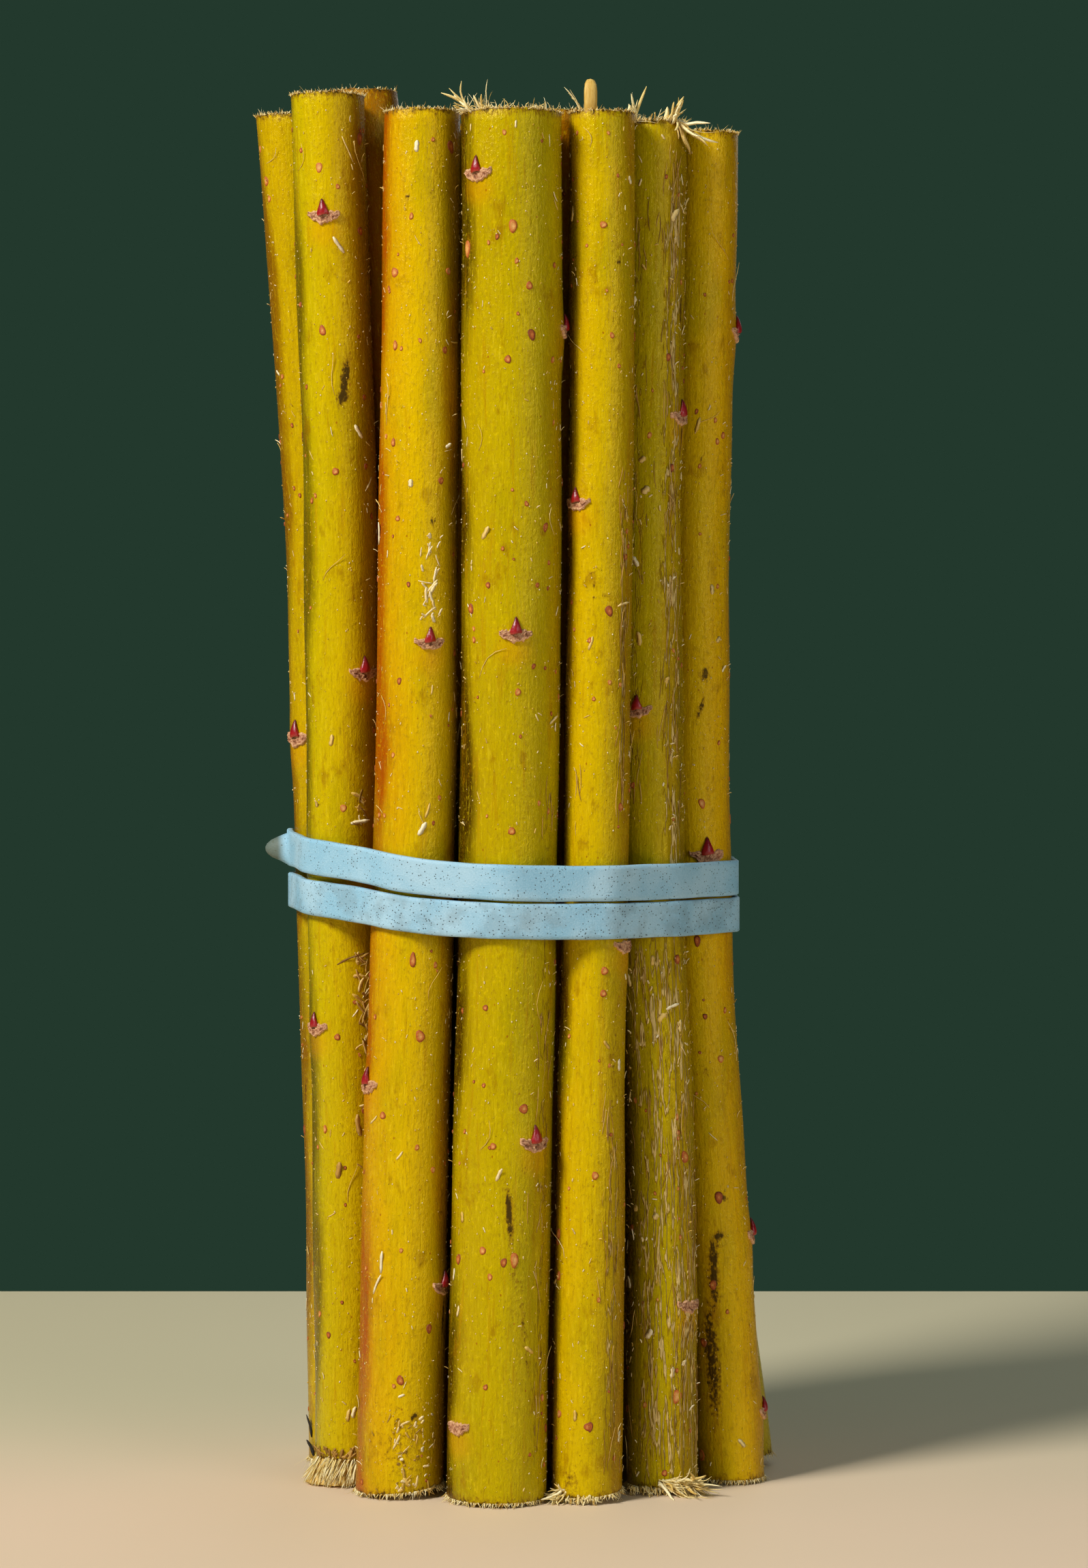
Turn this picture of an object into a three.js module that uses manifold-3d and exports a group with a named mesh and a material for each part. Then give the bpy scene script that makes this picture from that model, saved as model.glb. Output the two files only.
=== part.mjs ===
// A bundle of freshly cut twigs, standing on its cut ends and held by one flat rubber band
// that is wound twice round it. Millimetres, +Z up. The origin is on the ground, under the
// middle of the bundle's outline, and the side that faces -Y is the front.

import * as THREE from 'three';
import { mergeVertices } from 'three/addons/utils/BufferGeometryUtils.js';
import Module from 'manifold-3d';

const wasm = await Module();
wasm.setup();

// Driving dimensions: the bundle as a whole

const STATIONS = [0, 45, 90, 150, 208];            // heights at which each twig is placed
const MIDDLE_X = [3.8, 1.2, -0.3, -1.2, -2.6];     // the bundle leans to the left going up
const SPLAY = [1.11, 1.02, 1, 1.035, 1.1];        // it is narrowest at the band
const TAPER = [1.04, 1.02, 1, 0.98, 0.96];         // an inner twig is thickest at its foot

// Driving dimensions: buds, leaf scars and torn fibres

const BUD_RADIUS = 1.35;
const BUD_LENGTH = 3.5;
const BUD_SINK = 0.3;
const BUD_LEAN = 0.12;                              // radians that a bud's tip leans out
const SCAR_HALF_WIDTH = 2.9;
const SCAR_HALF_HEIGHT = 0.8;
const SCAR_RISE = 0.7;
const SPIKE_SIDES = 4;

// Driving dimensions: the rubber band

const BAND_WIDTH = 5.4;
const BAND_THICKNESS = 1.0;
const BAND_GAP = 0.5;
const UPPER_LEVEL = 93.6;
const LOWER_LEVEL = 87.9;
const UPPER_LEFT_RISE = 3.8;
const LOWER_LEFT_RISE = 3.1;
const LEFT = 188;                                   // degrees, where the band sits highest
const LEFT_HELD = 45;
const LEFT_FALL = 40;
const CROSSING_ANGLE = 118;                         // degrees, at the back left
const CROSSING_REACH = 26;
const TWIST_ANGLE = 172;                            // degrees, just round the left side
const TWIST_REACH = 13;
const TWIST_STAND_OFF = 2.3;
const TWIST_LIFT = 0.9;
const TWIST_WIDTH = 3.6;
const BAND_STEPS = 150;

// Driving dimensions: how finely a twig is cut into faces

const FRONT_SIDES = 14;
const FRONT_LEVELS = 8;
const HIDDEN_SIDES = 10;
const HIDDEN_LEVELS = 4;

// The nine twigs that show from the front, from left to right, and the one behind the thickest
// of them. x and y are the places of the middle of the twig at the five stations, and wide is
// its thickness there. A bud or a scar is given by its height and by the turn from the front,
// in degrees, positive to the right.

const FRONT_TWIGS = [
  {
    name: 'twig_01_left_edge', foot: 1.4, top: 212, colour: 0xb98f12,
    x: [-26.9, -27.4, -28.7, -30.5, -34.4], y: [-2, -3, -3.8, -4.2, -4.8],
    wide: [11.2, 11.2, 11.2, 11.2, 11.2],
    buds: [[115.4, -51]], scars: [], spikes: [],
  },
  {
    name: 'twig_02_torn_foot', foot: 5.3, top: 213.7, colour: 0xaca21c,
    x: [-25.2, -25.4, -26.2, -26.8, -28.4], y: [-13.7, -14.6, -15.3, -15.6, -17],
    wide: [11.4, 11.4, 11.3, 11.3, 11.3],
    buds: [[195, -9], [125.5, 37], [71, -50]], scars: [], spikes: [],
    stub: { radiusTop: 4.9, radiusFoot: 6, shift: [-1.8, -1], foot: 0.2 },
  },
  {
    name: 'twig_03_in_shadow', foot: 0.6, top: 215.6, colour: 0xa5761c,
    x: [-13, -14, -15, -16, -22.3], y: [-11, -11.6, -12, -10.6, -7.7],
    wide: [11.4, 11.3, 11.1, 10.5, 9.8],
    buds: [[60, 150]], scars: [], spikes: [],
  },
  {
    name: 'twig_04_golden', foot: 0, top: 210.2, colour: 0xcfa512,
    x: [-17.5, -16.6, -15.3, -14.4, -13.9], y: [-24, -24.6, -25, -24.7, -24.5],
    wide: [13.3, 13, 12.6, 12.1, 11.6],
    buds: [[130, 18], [63, -66], [32.3, 64]], scars: [], spikes: [],
  },
  {
    name: 'twig_05_thick_front', foot: 0, top: 209.4, colour: 0xa9a51c,
    x: [-2.6, -1.9, -0.9, -0.3, -0.3], y: [-29.4, -28.2, -27.4, -28.4, -29.4],
    wide: [15.1, 15.1, 14.9, 15.1, 15.1],
    buds: [[200, -40], [131.2, 6], [54.8, 40], [177, 90]], scars: [[12, -50]],
    spikes: [[[-5.8, -31.5, 208], [-9.8, -32.4, 213], 0.9]],
  },
  {
    name: 'twig_06_behind_gap', foot: 0.9, top: 211.3, colour: 0xa5761c,
    x: [7.5, 6.3, 5.5, 5.8, 6.5], y: [-17, -16, -15, -15.8, -17],
    wide: [10.6, 10.4, 10.2, 10, 10],
    buds: [[150, 170]], scars: [], spikes: [],
  },
  {
    name: 'twig_07_streaked', foot: 0, top: 209.8, colour: 0xc6a317,
    x: [11.2, 11.5, 12.3, 13.2, 13.4], y: [-28.7, -27.8, -27, -27.1, -26.6],
    wide: [10.7, 10.6, 9.9, 9.8, 9.9],
    buds: [[151, -44]], scars: [[84.3, 60]],
    spikes: [
      [[11.4, -30, 208.6], [11, -30.6, 214.4], 1.2],
      [[7.6, -30.4, 1.6], [5.2, -32.6, 0.3], 0.8],
    ],
  },
  {
    name: 'twig_08_fissured', foot: 0.7, top: 209.2, colour: 0x9c9433,
    x: [22.8, 22.5, 21.1, 20.5, 21.2], y: [-20.5, -20.2, -20, -19.6, -19.4],
    wide: [10.9, 10.6, 10.4, 10.4, 10.4],
    buds: [[164.5, 65], [119.8, -20]], scars: [[29, 48]],
    spikes: [
      [[23.4, -23, 208.2], [26.4, -24, 211.2], 0.9],
      [[19.6, -22.8, 208.2], [19.2, -23.8, 212.4], 0.9],
      [[26, -22.8, 1.6], [31, -24.2, 0.4], 1],
    ],
  },
  {
    name: 'twig_09_right_edge', foot: 0, top: 208.5, colour: 0xa98d18,
    x: [33.7, 30.8, 28.4, 28.2, 29.5], y: [-12.6, -11.4, -10.8, -11.2, -12],
    wide: [10.6, 10.6, 10.6, 10.5, 10.4],
    buds: [[178, 90], [97.4, 15], [38.2, 90], [10.8, 90]], scars: [], spikes: [],
  },
  {
    name: 'twig_10_behind_thick', foot: 1, top: 208, colour: 0xa88f1c,
    x: [-3, -3.7, -4.4, -5.2, -6.3], y: [-15.5, -14.8, -14.3, -14.8, -15.5],
    wide: [9.2, 8.9, 8.7, 8.7, 8.6],
    buds: [], scars: [], spikes: [],
  },
];

// The twigs that the front hides: a row round the back, a ring inside it, and three at the
// core. Angles are in degrees from +X.

const BACK_ROW = { label: 'back', count: 8, first: 3, last: 160, ring: 28.5, wide: 10.7 };
const INNER_RING = { label: 'inner', count: 6, first: -29, last: 171, ring: 17, wide: 11 };
const CORE = { label: 'core', count: 3, first: 90, last: 330, ring: 6.2, wide: 9.7 };
const HIDDEN_COLOURS = [0xb9a01a, 0xa99a20, 0xc4991a, 0xae8a1c];
const MIDDLE_TOP = 209.5;
const TOP_SPREAD = 2.6;
const FOOT_STEPS = [0, 0.8, 0, 1.5];                // every other hidden twig stands on the ground

// A smooth curve through values at the stations, with the slope at each taken from its
// neighbours, and straight on beyond the ends.
function along(values, z) {
  const last = STATIONS.length - 1;
  const slope = (k) => {
    const a = Math.max(0, k - 1);
    const b = Math.min(last, k + 1);
    return (values[b] - values[a]) / (STATIONS[b] - STATIONS[a]);
  };
  if (z <= STATIONS[0]) return values[0] + slope(0) * (z - STATIONS[0]);
  if (z >= STATIONS[last]) return values[last] + slope(last) * (z - STATIONS[last]);
  let k = 0;
  while (z > STATIONS[k + 1]) k += 1;
  const h = STATIONS[k + 1] - STATIONS[k];
  const t = (z - STATIONS[k]) / h;
  const rise = 3 * t * t - 2 * t * t * t;
  return (
    values[k] * (1 - rise) +
    values[k + 1] * rise +
    slope(k) * h * t * (1 - t) * (1 - t) -
    slope(k + 1) * h * t * t * (1 - t)
  );
}

function twigCentre(twig, z) {
  return new THREE.Vector3(along(twig.x, z), along(twig.y, z), z);
}

// The outward direction at a turn from the front, and the point of the bark there.
function outward(turn) {
  const a = THREE.MathUtils.degToRad(turn);
  return new THREE.Vector3(Math.sin(a), -Math.cos(a), 0);
}

function onBark(twig, z, turn, rise) {
  return twigCentre(twig, z).addScaledVector(outward(turn), along(twig.wide, z) / 2 + rise);
}

// Joining closed pieces into one solid

function toSolid(geometry) {
  const bare = geometry.clone();
  bare.deleteAttribute('normal');
  bare.deleteAttribute('uv');
  const welded = mergeVertices(bare, 1e-4);
  const index = welded.index.array;
  const triangles = [];
  for (let i = 0; i < index.length; i += 3) {
    const [a, b, c] = [index[i], index[i + 1], index[i + 2]];
    if (a !== b && b !== c && a !== c) triangles.push(a, b, c);
  }
  return new wasm.Manifold(
    new wasm.Mesh({
      numProp: 3,
      vertProperties: new Float32Array(welded.attributes.position.array),
      triVerts: new Uint32Array(triangles),
    }),
  );
}

function toGeometry(solid) {
  const mesh = solid.getMesh();
  const geometry = new THREE.BufferGeometry();
  geometry.setAttribute('position', new THREE.BufferAttribute(mesh.vertProperties, 3));
  geometry.setIndex(new THREE.BufferAttribute(mesh.triVerts, 1));
  geometry.computeVertexNormals();
  return geometry;
}

// A twig's stem: a round bar whose rings are moved to the twig's own line and thickness.
function stem(twig) {
  const length = twig.top - twig.foot;
  const geometry = new THREE.CylinderGeometry(1, 1, length, twig.sides, twig.levels);
  geometry.rotateX(Math.PI / 2);
  const position = geometry.attributes.position;
  for (let i = 0; i < position.count; i += 1) {
    const z = twig.foot + length / 2 + position.getZ(i);
    const radius = along(twig.wide, z) / 2;
    position.setXYZ(
      i,
      along(twig.x, z) + position.getX(i) * radius,
      along(twig.y, z) + position.getY(i) * radius,
      z,
    );
  }
  return geometry;
}

// A bud: a small pointed cone that lies against the bark above its leaf scar.
function bud(twig, z, turn) {
  const outline = [
    new THREE.Vector2(0, -0.4),
    new THREE.Vector2(BUD_RADIUS, 0),
    new THREE.Vector2(BUD_RADIUS * 0.85, BUD_LENGTH * 0.4),
    new THREE.Vector2(0, BUD_LENGTH),
  ];
  const geometry = new THREE.LatheGeometry(outline, 6);
  geometry.rotateX(Math.PI / 2 + BUD_LEAN);
  geometry.rotateZ(THREE.MathUtils.degToRad(turn));
  const foot = onBark(twig, z, turn, -BUD_SINK);
  geometry.translate(foot.x, foot.y, foot.z);
  return geometry;
}

// A leaf scar: a low crescent cushion under the bud, as wide as the old leaf stalk.
function leafScar(twig, z, turn) {
  const geometry = new THREE.SphereGeometry(1, 6, 4);
  geometry.scale(SCAR_HALF_WIDTH, SCAR_RISE + 1.2, SCAR_HALF_HEIGHT);
  geometry.rotateZ(THREE.MathUtils.degToRad(turn));
  const middle = onBark(twig, z - SCAR_HALF_HEIGHT, turn, -1.2);
  geometry.translate(middle.x, middle.y, middle.z);
  return geometry;
}

// A spike of torn wood fibres, from a point inside the twig to its tip.
function spike(from, to, radius) {
  const start = new THREE.Vector3(...from);
  const reach = new THREE.Vector3(...to).sub(start);
  const geometry = new THREE.ConeGeometry(radius, reach.length(), SPIKE_SIDES);
  geometry.translate(0, reach.length() / 2, 0);
  const turned = new THREE.Quaternion().setFromUnitVectors(
    new THREE.Vector3(0, 1, 0),
    reach.clone().normalize(),
  );
  geometry.applyQuaternion(turned);
  geometry.translate(start.x, start.y, start.z);
  return geometry;
}

// A torn foot: the brush of wood fibres that is left where the bark ends short of the ground.
function tornStub(twig) {
  const { radiusTop, radiusFoot, shift, foot } = twig.stub;
  const top = twig.foot + 1;
  const geometry = new THREE.CylinderGeometry(radiusTop, radiusFoot, top - foot, 10, 2);
  geometry.rotateX(Math.PI / 2);
  const position = geometry.attributes.position;
  for (let i = 0; i < position.count; i += 1) {
    const down = 0.5 - position.getZ(i) / (top - foot);
    const centre = twigCentre(twig, foot);
    position.setXYZ(
      i,
      centre.x + position.getX(i) + shift[0] * down,
      centre.y + position.getY(i) + shift[1] * down,
      (top + foot) / 2 + position.getZ(i),
    );
  }
  return geometry;
}

function twigMesh(twig) {
  let solid = toSolid(stem(twig));
  const fuse = (geometry) => {
    solid = solid.add(toSolid(geometry));
  };
  for (const [z, turn] of twig.buds) {
    fuse(leafScar(twig, z, turn));
    fuse(bud(twig, z, turn));
  }
  for (const [z, turn] of twig.scars) fuse(leafScar(twig, z, turn));
  for (const [from, to, radius] of twig.spikes) fuse(spike(from, to, radius));
  if (twig.stub) fuse(tornStub(twig));
  const material = new THREE.MeshStandardMaterial({
    color: twig.colour,
    roughness: 0.42,
    metalness: 0,
  });
  const mesh = new THREE.Mesh(toGeometry(solid), material);
  mesh.name = twig.name;
  return mesh;
}

// Twigs laid side by side on part of a ring round the bundle's middle.
function ringOfTwigs(row, firstNumber) {
  const twigs = [];
  for (let i = 0; i < row.count; i += 1) {
    const number = firstNumber + i;
    const share = i / (row.count - 1);
    const angle = THREE.MathUtils.degToRad(row.first + (row.last - row.first) * share);
    const outwardTurn = 90 + THREE.MathUtils.radToDeg(angle);
    const wobble = Math.sin(2.4 * number);
    twigs.push({
      name: `twig_${number}_${row.label}`,
      foot: FOOT_STEPS[number % FOOT_STEPS.length],
      top: MIDDLE_TOP - TOP_SPREAD * wobble,
      colour: HIDDEN_COLOURS[number % HIDDEN_COLOURS.length],
      x: STATIONS.map((_, k) => MIDDLE_X[k] + row.ring * SPLAY[k] * Math.cos(angle)),
      y: STATIONS.map((_, k) => row.ring * SPLAY[k] * Math.sin(angle)),
      wide: TAPER.map((taper) => row.wide * taper),
      buds: row === BACK_ROW ? [[150 + 42 * wobble, outwardTurn + 14 * wobble]] : [],
      scars: [],
      spikes: [],
      sides: HIDDEN_SIDES,
      levels: HIDDEN_LEVELS,
    });
  }
  return twigs;
}

// The rubber band

const smooth = (low, high, value) => THREE.MathUtils.smoothstep(value, low, high);

// How far the bundle reaches in one direction, with the point where it does.
function reachOf(twigs, direction, z) {
  let best = null;
  for (const twig of twigs) {
    const point = twigCentre(twig, z).addScaledVector(direction, along(twig.wide, z) / 2);
    const reach = point.dot(direction);
    if (best === null || reach > best.reach) best = { reach, point };
  }
  return best;
}

// Degrees between two directions, from -180 to 180.
const between = (a, b) => THREE.MathUtils.euclideanModulo(a - b + 180, 360) - 180;

// One cross-section of the band. Turned is how far the band has gone, in degrees, in its two
// turns: the first is the upper one, and the two cross at the back left.
function bandSection(twigs, turned) {
  const angle = CROSSING_ANGLE + turned;
  const a = THREE.MathUtils.degToRad(angle);
  const direction = new THREE.Vector3(Math.cos(a), Math.sin(a), 0);
  const passed = (place) => smooth(place - CROSSING_REACH, place + CROSSING_REACH, turned);
  const upper = passed(0) - passed(360) + passed(720);
  const leftness = 1 - smooth(LEFT_HELD, LEFT_HELD + LEFT_FALL, Math.abs(between(angle, LEFT)));
  const upperZ = UPPER_LEVEL + UPPER_LEFT_RISE * leftness;
  const lowerZ = LOWER_LEVEL + LOWER_LEFT_RISE * leftness;
  const z = lowerZ + (upperZ - lowerZ) * upper;

  const { point } = reachOf(twigs, direction, z);
  const over = 1 - smooth(CROSSING_REACH, 2 * CROSSING_REACH, Math.abs(turned - 360));
  const pastTwist = turned - (TWIST_ANGLE - CROSSING_ANGLE);
  const twist = smooth(-TWIST_REACH, TWIST_REACH, pastTwist);
  const pinch = 1 - smooth(0.2 * TWIST_REACH, 1.6 * TWIST_REACH, Math.abs(pastTwist));

  const standOff =
    BAND_GAP +
    BAND_THICKNESS / 2 +
    over * (BAND_THICKNESS + BAND_GAP) +
    pinch * TWIST_STAND_OFF;
  const middle = point.clone().addScaledVector(direction, standOff);
  middle.z = z + pinch * TWIST_LIFT;

  const width = BAND_WIDTH + (TWIST_WIDTH - BAND_WIDTH) * pinch;
  const roll = twist * 2 * Math.PI;
  const up = new THREE.Vector3(0, 0, 1);
  const across = up
    .clone()
    .multiplyScalar(Math.cos(roll))
    .addScaledVector(direction, Math.sin(roll));
  const through = direction
    .clone()
    .multiplyScalar(Math.cos(roll))
    .addScaledVector(up, -Math.sin(roll));
  const corner = (w, t) =>
    middle
      .clone()
      .addScaledVector(across, (w * width) / 2)
      .addScaledVector(through, (t * BAND_THICKNESS) / 2);
  return [corner(-1, -1), corner(-1, 1), corner(1, 1), corner(1, -1)];
}

function bandMesh(twigs) {
  const sections = [];
  for (let i = 0; i < BAND_STEPS; i += 1) {
    sections.push(bandSection(twigs, (720 * i) / BAND_STEPS));
  }
  const positions = sections.flat().flatMap((p) => [p.x, p.y, p.z]);
  const faces = [];
  for (let i = 0; i < BAND_STEPS; i += 1) {
    const here = 4 * i;
    const next = 4 * ((i + 1) % BAND_STEPS);
    for (let k = 0; k < 4; k += 1) {
      const other = (k + 1) % 4;
      faces.push(here + k, next + k, next + other);
      faces.push(here + k, next + other, here + other);
    }
  }
  const geometry = new THREE.BufferGeometry();
  geometry.setAttribute('position', new THREE.Float32BufferAttribute(positions, 3));
  geometry.setIndex(faces);
  geometry.computeVertexNormals();
  const material = new THREE.MeshStandardMaterial({
    color: 0x86b9cf,
    roughness: 0.62,
    metalness: 0,
  });
  const mesh = new THREE.Mesh(geometry, material);
  mesh.name = 'rubber_band';
  return mesh;
}

// The bundle

const frontTwigs = FRONT_TWIGS.map((twig) => ({
  ...twig,
  sides: FRONT_SIDES,
  levels: FRONT_LEVELS,
}));
const hiddenTwigs = [];
for (const row of [BACK_ROW, INNER_RING, CORE]) {
  hiddenTwigs.push(...ringOfTwigs(row, frontTwigs.length + hiddenTwigs.length + 1));
}
const allTwigs = [...frontTwigs, ...hiddenTwigs];

const bundle = new THREE.Group();
for (const twig of allTwigs) bundle.add(twigMesh(twig));
bundle.add(bandMesh(allTwigs));

export default bundle;
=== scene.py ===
# A bundle of freshly cut twigs, standing on its sawn feet and held by one flat rubber band.
# Every twig is dressed as one mesh: bark, sawn ends, buds, leaf scars, lenticels, shavings and
# torn fibres. Sizes are real millimetres, turned to metres when a mesh is made.

import math

import bpy
import numpy as np
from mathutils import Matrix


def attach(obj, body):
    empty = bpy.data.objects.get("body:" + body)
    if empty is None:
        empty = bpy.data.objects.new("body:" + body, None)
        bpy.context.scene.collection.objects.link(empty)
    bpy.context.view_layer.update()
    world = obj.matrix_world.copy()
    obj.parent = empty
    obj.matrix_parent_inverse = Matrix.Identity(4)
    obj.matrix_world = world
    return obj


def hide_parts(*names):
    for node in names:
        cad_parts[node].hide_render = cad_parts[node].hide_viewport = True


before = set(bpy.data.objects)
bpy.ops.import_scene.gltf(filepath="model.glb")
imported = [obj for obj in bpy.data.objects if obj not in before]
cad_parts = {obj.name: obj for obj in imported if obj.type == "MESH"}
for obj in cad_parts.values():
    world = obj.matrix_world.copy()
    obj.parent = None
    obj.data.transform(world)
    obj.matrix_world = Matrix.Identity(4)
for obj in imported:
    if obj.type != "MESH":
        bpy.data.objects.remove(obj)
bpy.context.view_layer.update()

MM = 0.001

# The bundle, as it is built in the part's own source
STATIONS = [0, 45, 90, 150, 208]
MIDDLE_X = [3.8, 1.2, -0.3, -1.2, -2.6]
SPLAY = [1.11, 1.02, 1, 1.035, 1.1]
TAPER = [1.04, 1.02, 1, 0.98, 0.96]

# The rubber band
BAND_WIDTH = 5.4
BAND_THICKNESS = 0.95
BAND_GAP = 0.3
UPPER_LEVEL = 93.6
LOWER_LEVEL = 87.9
UPPER_LEFT_RISE = 4.3
LOWER_LEFT_RISE = 3.5
LEFT = 188
LEFT_HELD = 12
LEFT_FALL = 72
CROSSING_ANGLE = 118
CROSSING_REACH = 26
EAR_ANGLE = 184
EAR_STAND_OFF = 3.4
EAR_LIFT = 0.8
EAR_HALF_HEIGHT = 2.0
EAR_REACH = 3.4

# The band is drawn in steps of this length. Its line is evened out over this many steps, a
# little in plan and more in height.
BAND_STEP = 0.75
PLAN_BLUR = 1.6
HEIGHT_BLUR = 12.5

# Loose bits keep off the bark that the band covers, between these heights
BAND_COVERS = (83.5, 101.5)

# Buds, leaf scars and lenticels
BUD_RADIUS = 0.88
BUD_LENGTH = 2.6
SCAR_HALF_WIDTH = 2.5

# The swelling at a bud or a scar: its height, how far below its middle lies, and its reach
SWELLING_HEIGHT = 0.42
SWELLING_BELOW = 1.2
SWELLING_ROUND = 4.2
SWELLING_ALONG = 5.5

# A slanting cut begins to rise this far to the left and to the front of the twig's middle
SLANT_START = 5

# On a fully shown twig of the common width: lenticels, shavings, long curls and grains of dust
COMMON_WIDTH = 11.5
LENTICELS = 58
SHAVINGS = 170
CURLS = 6
GRAINS = 500

# Each twig takes its bark's pattern from a place this far along from the last one's
PATTERN_SHIFT = 300

# Fibres that droop to the table lie this far above it
TABLE_CLEARANCE = 0.02

# How finely each kind of twig is drawn: the step round it and along it, its share of litter, and
# the hairs of fuzz at its top and its foot
DETAIL = {
    "shown": ((0.5, 0.95), 1.0, (420, 420)),
    "gap": ((0.62, 1.3), 0.25, (110, 110)),
    "back": ((0.75, 1.8), 0.45, (150, 150)),
    "inner": ((1.1, 4.0), 0.0, (80, 0)),
}

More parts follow.
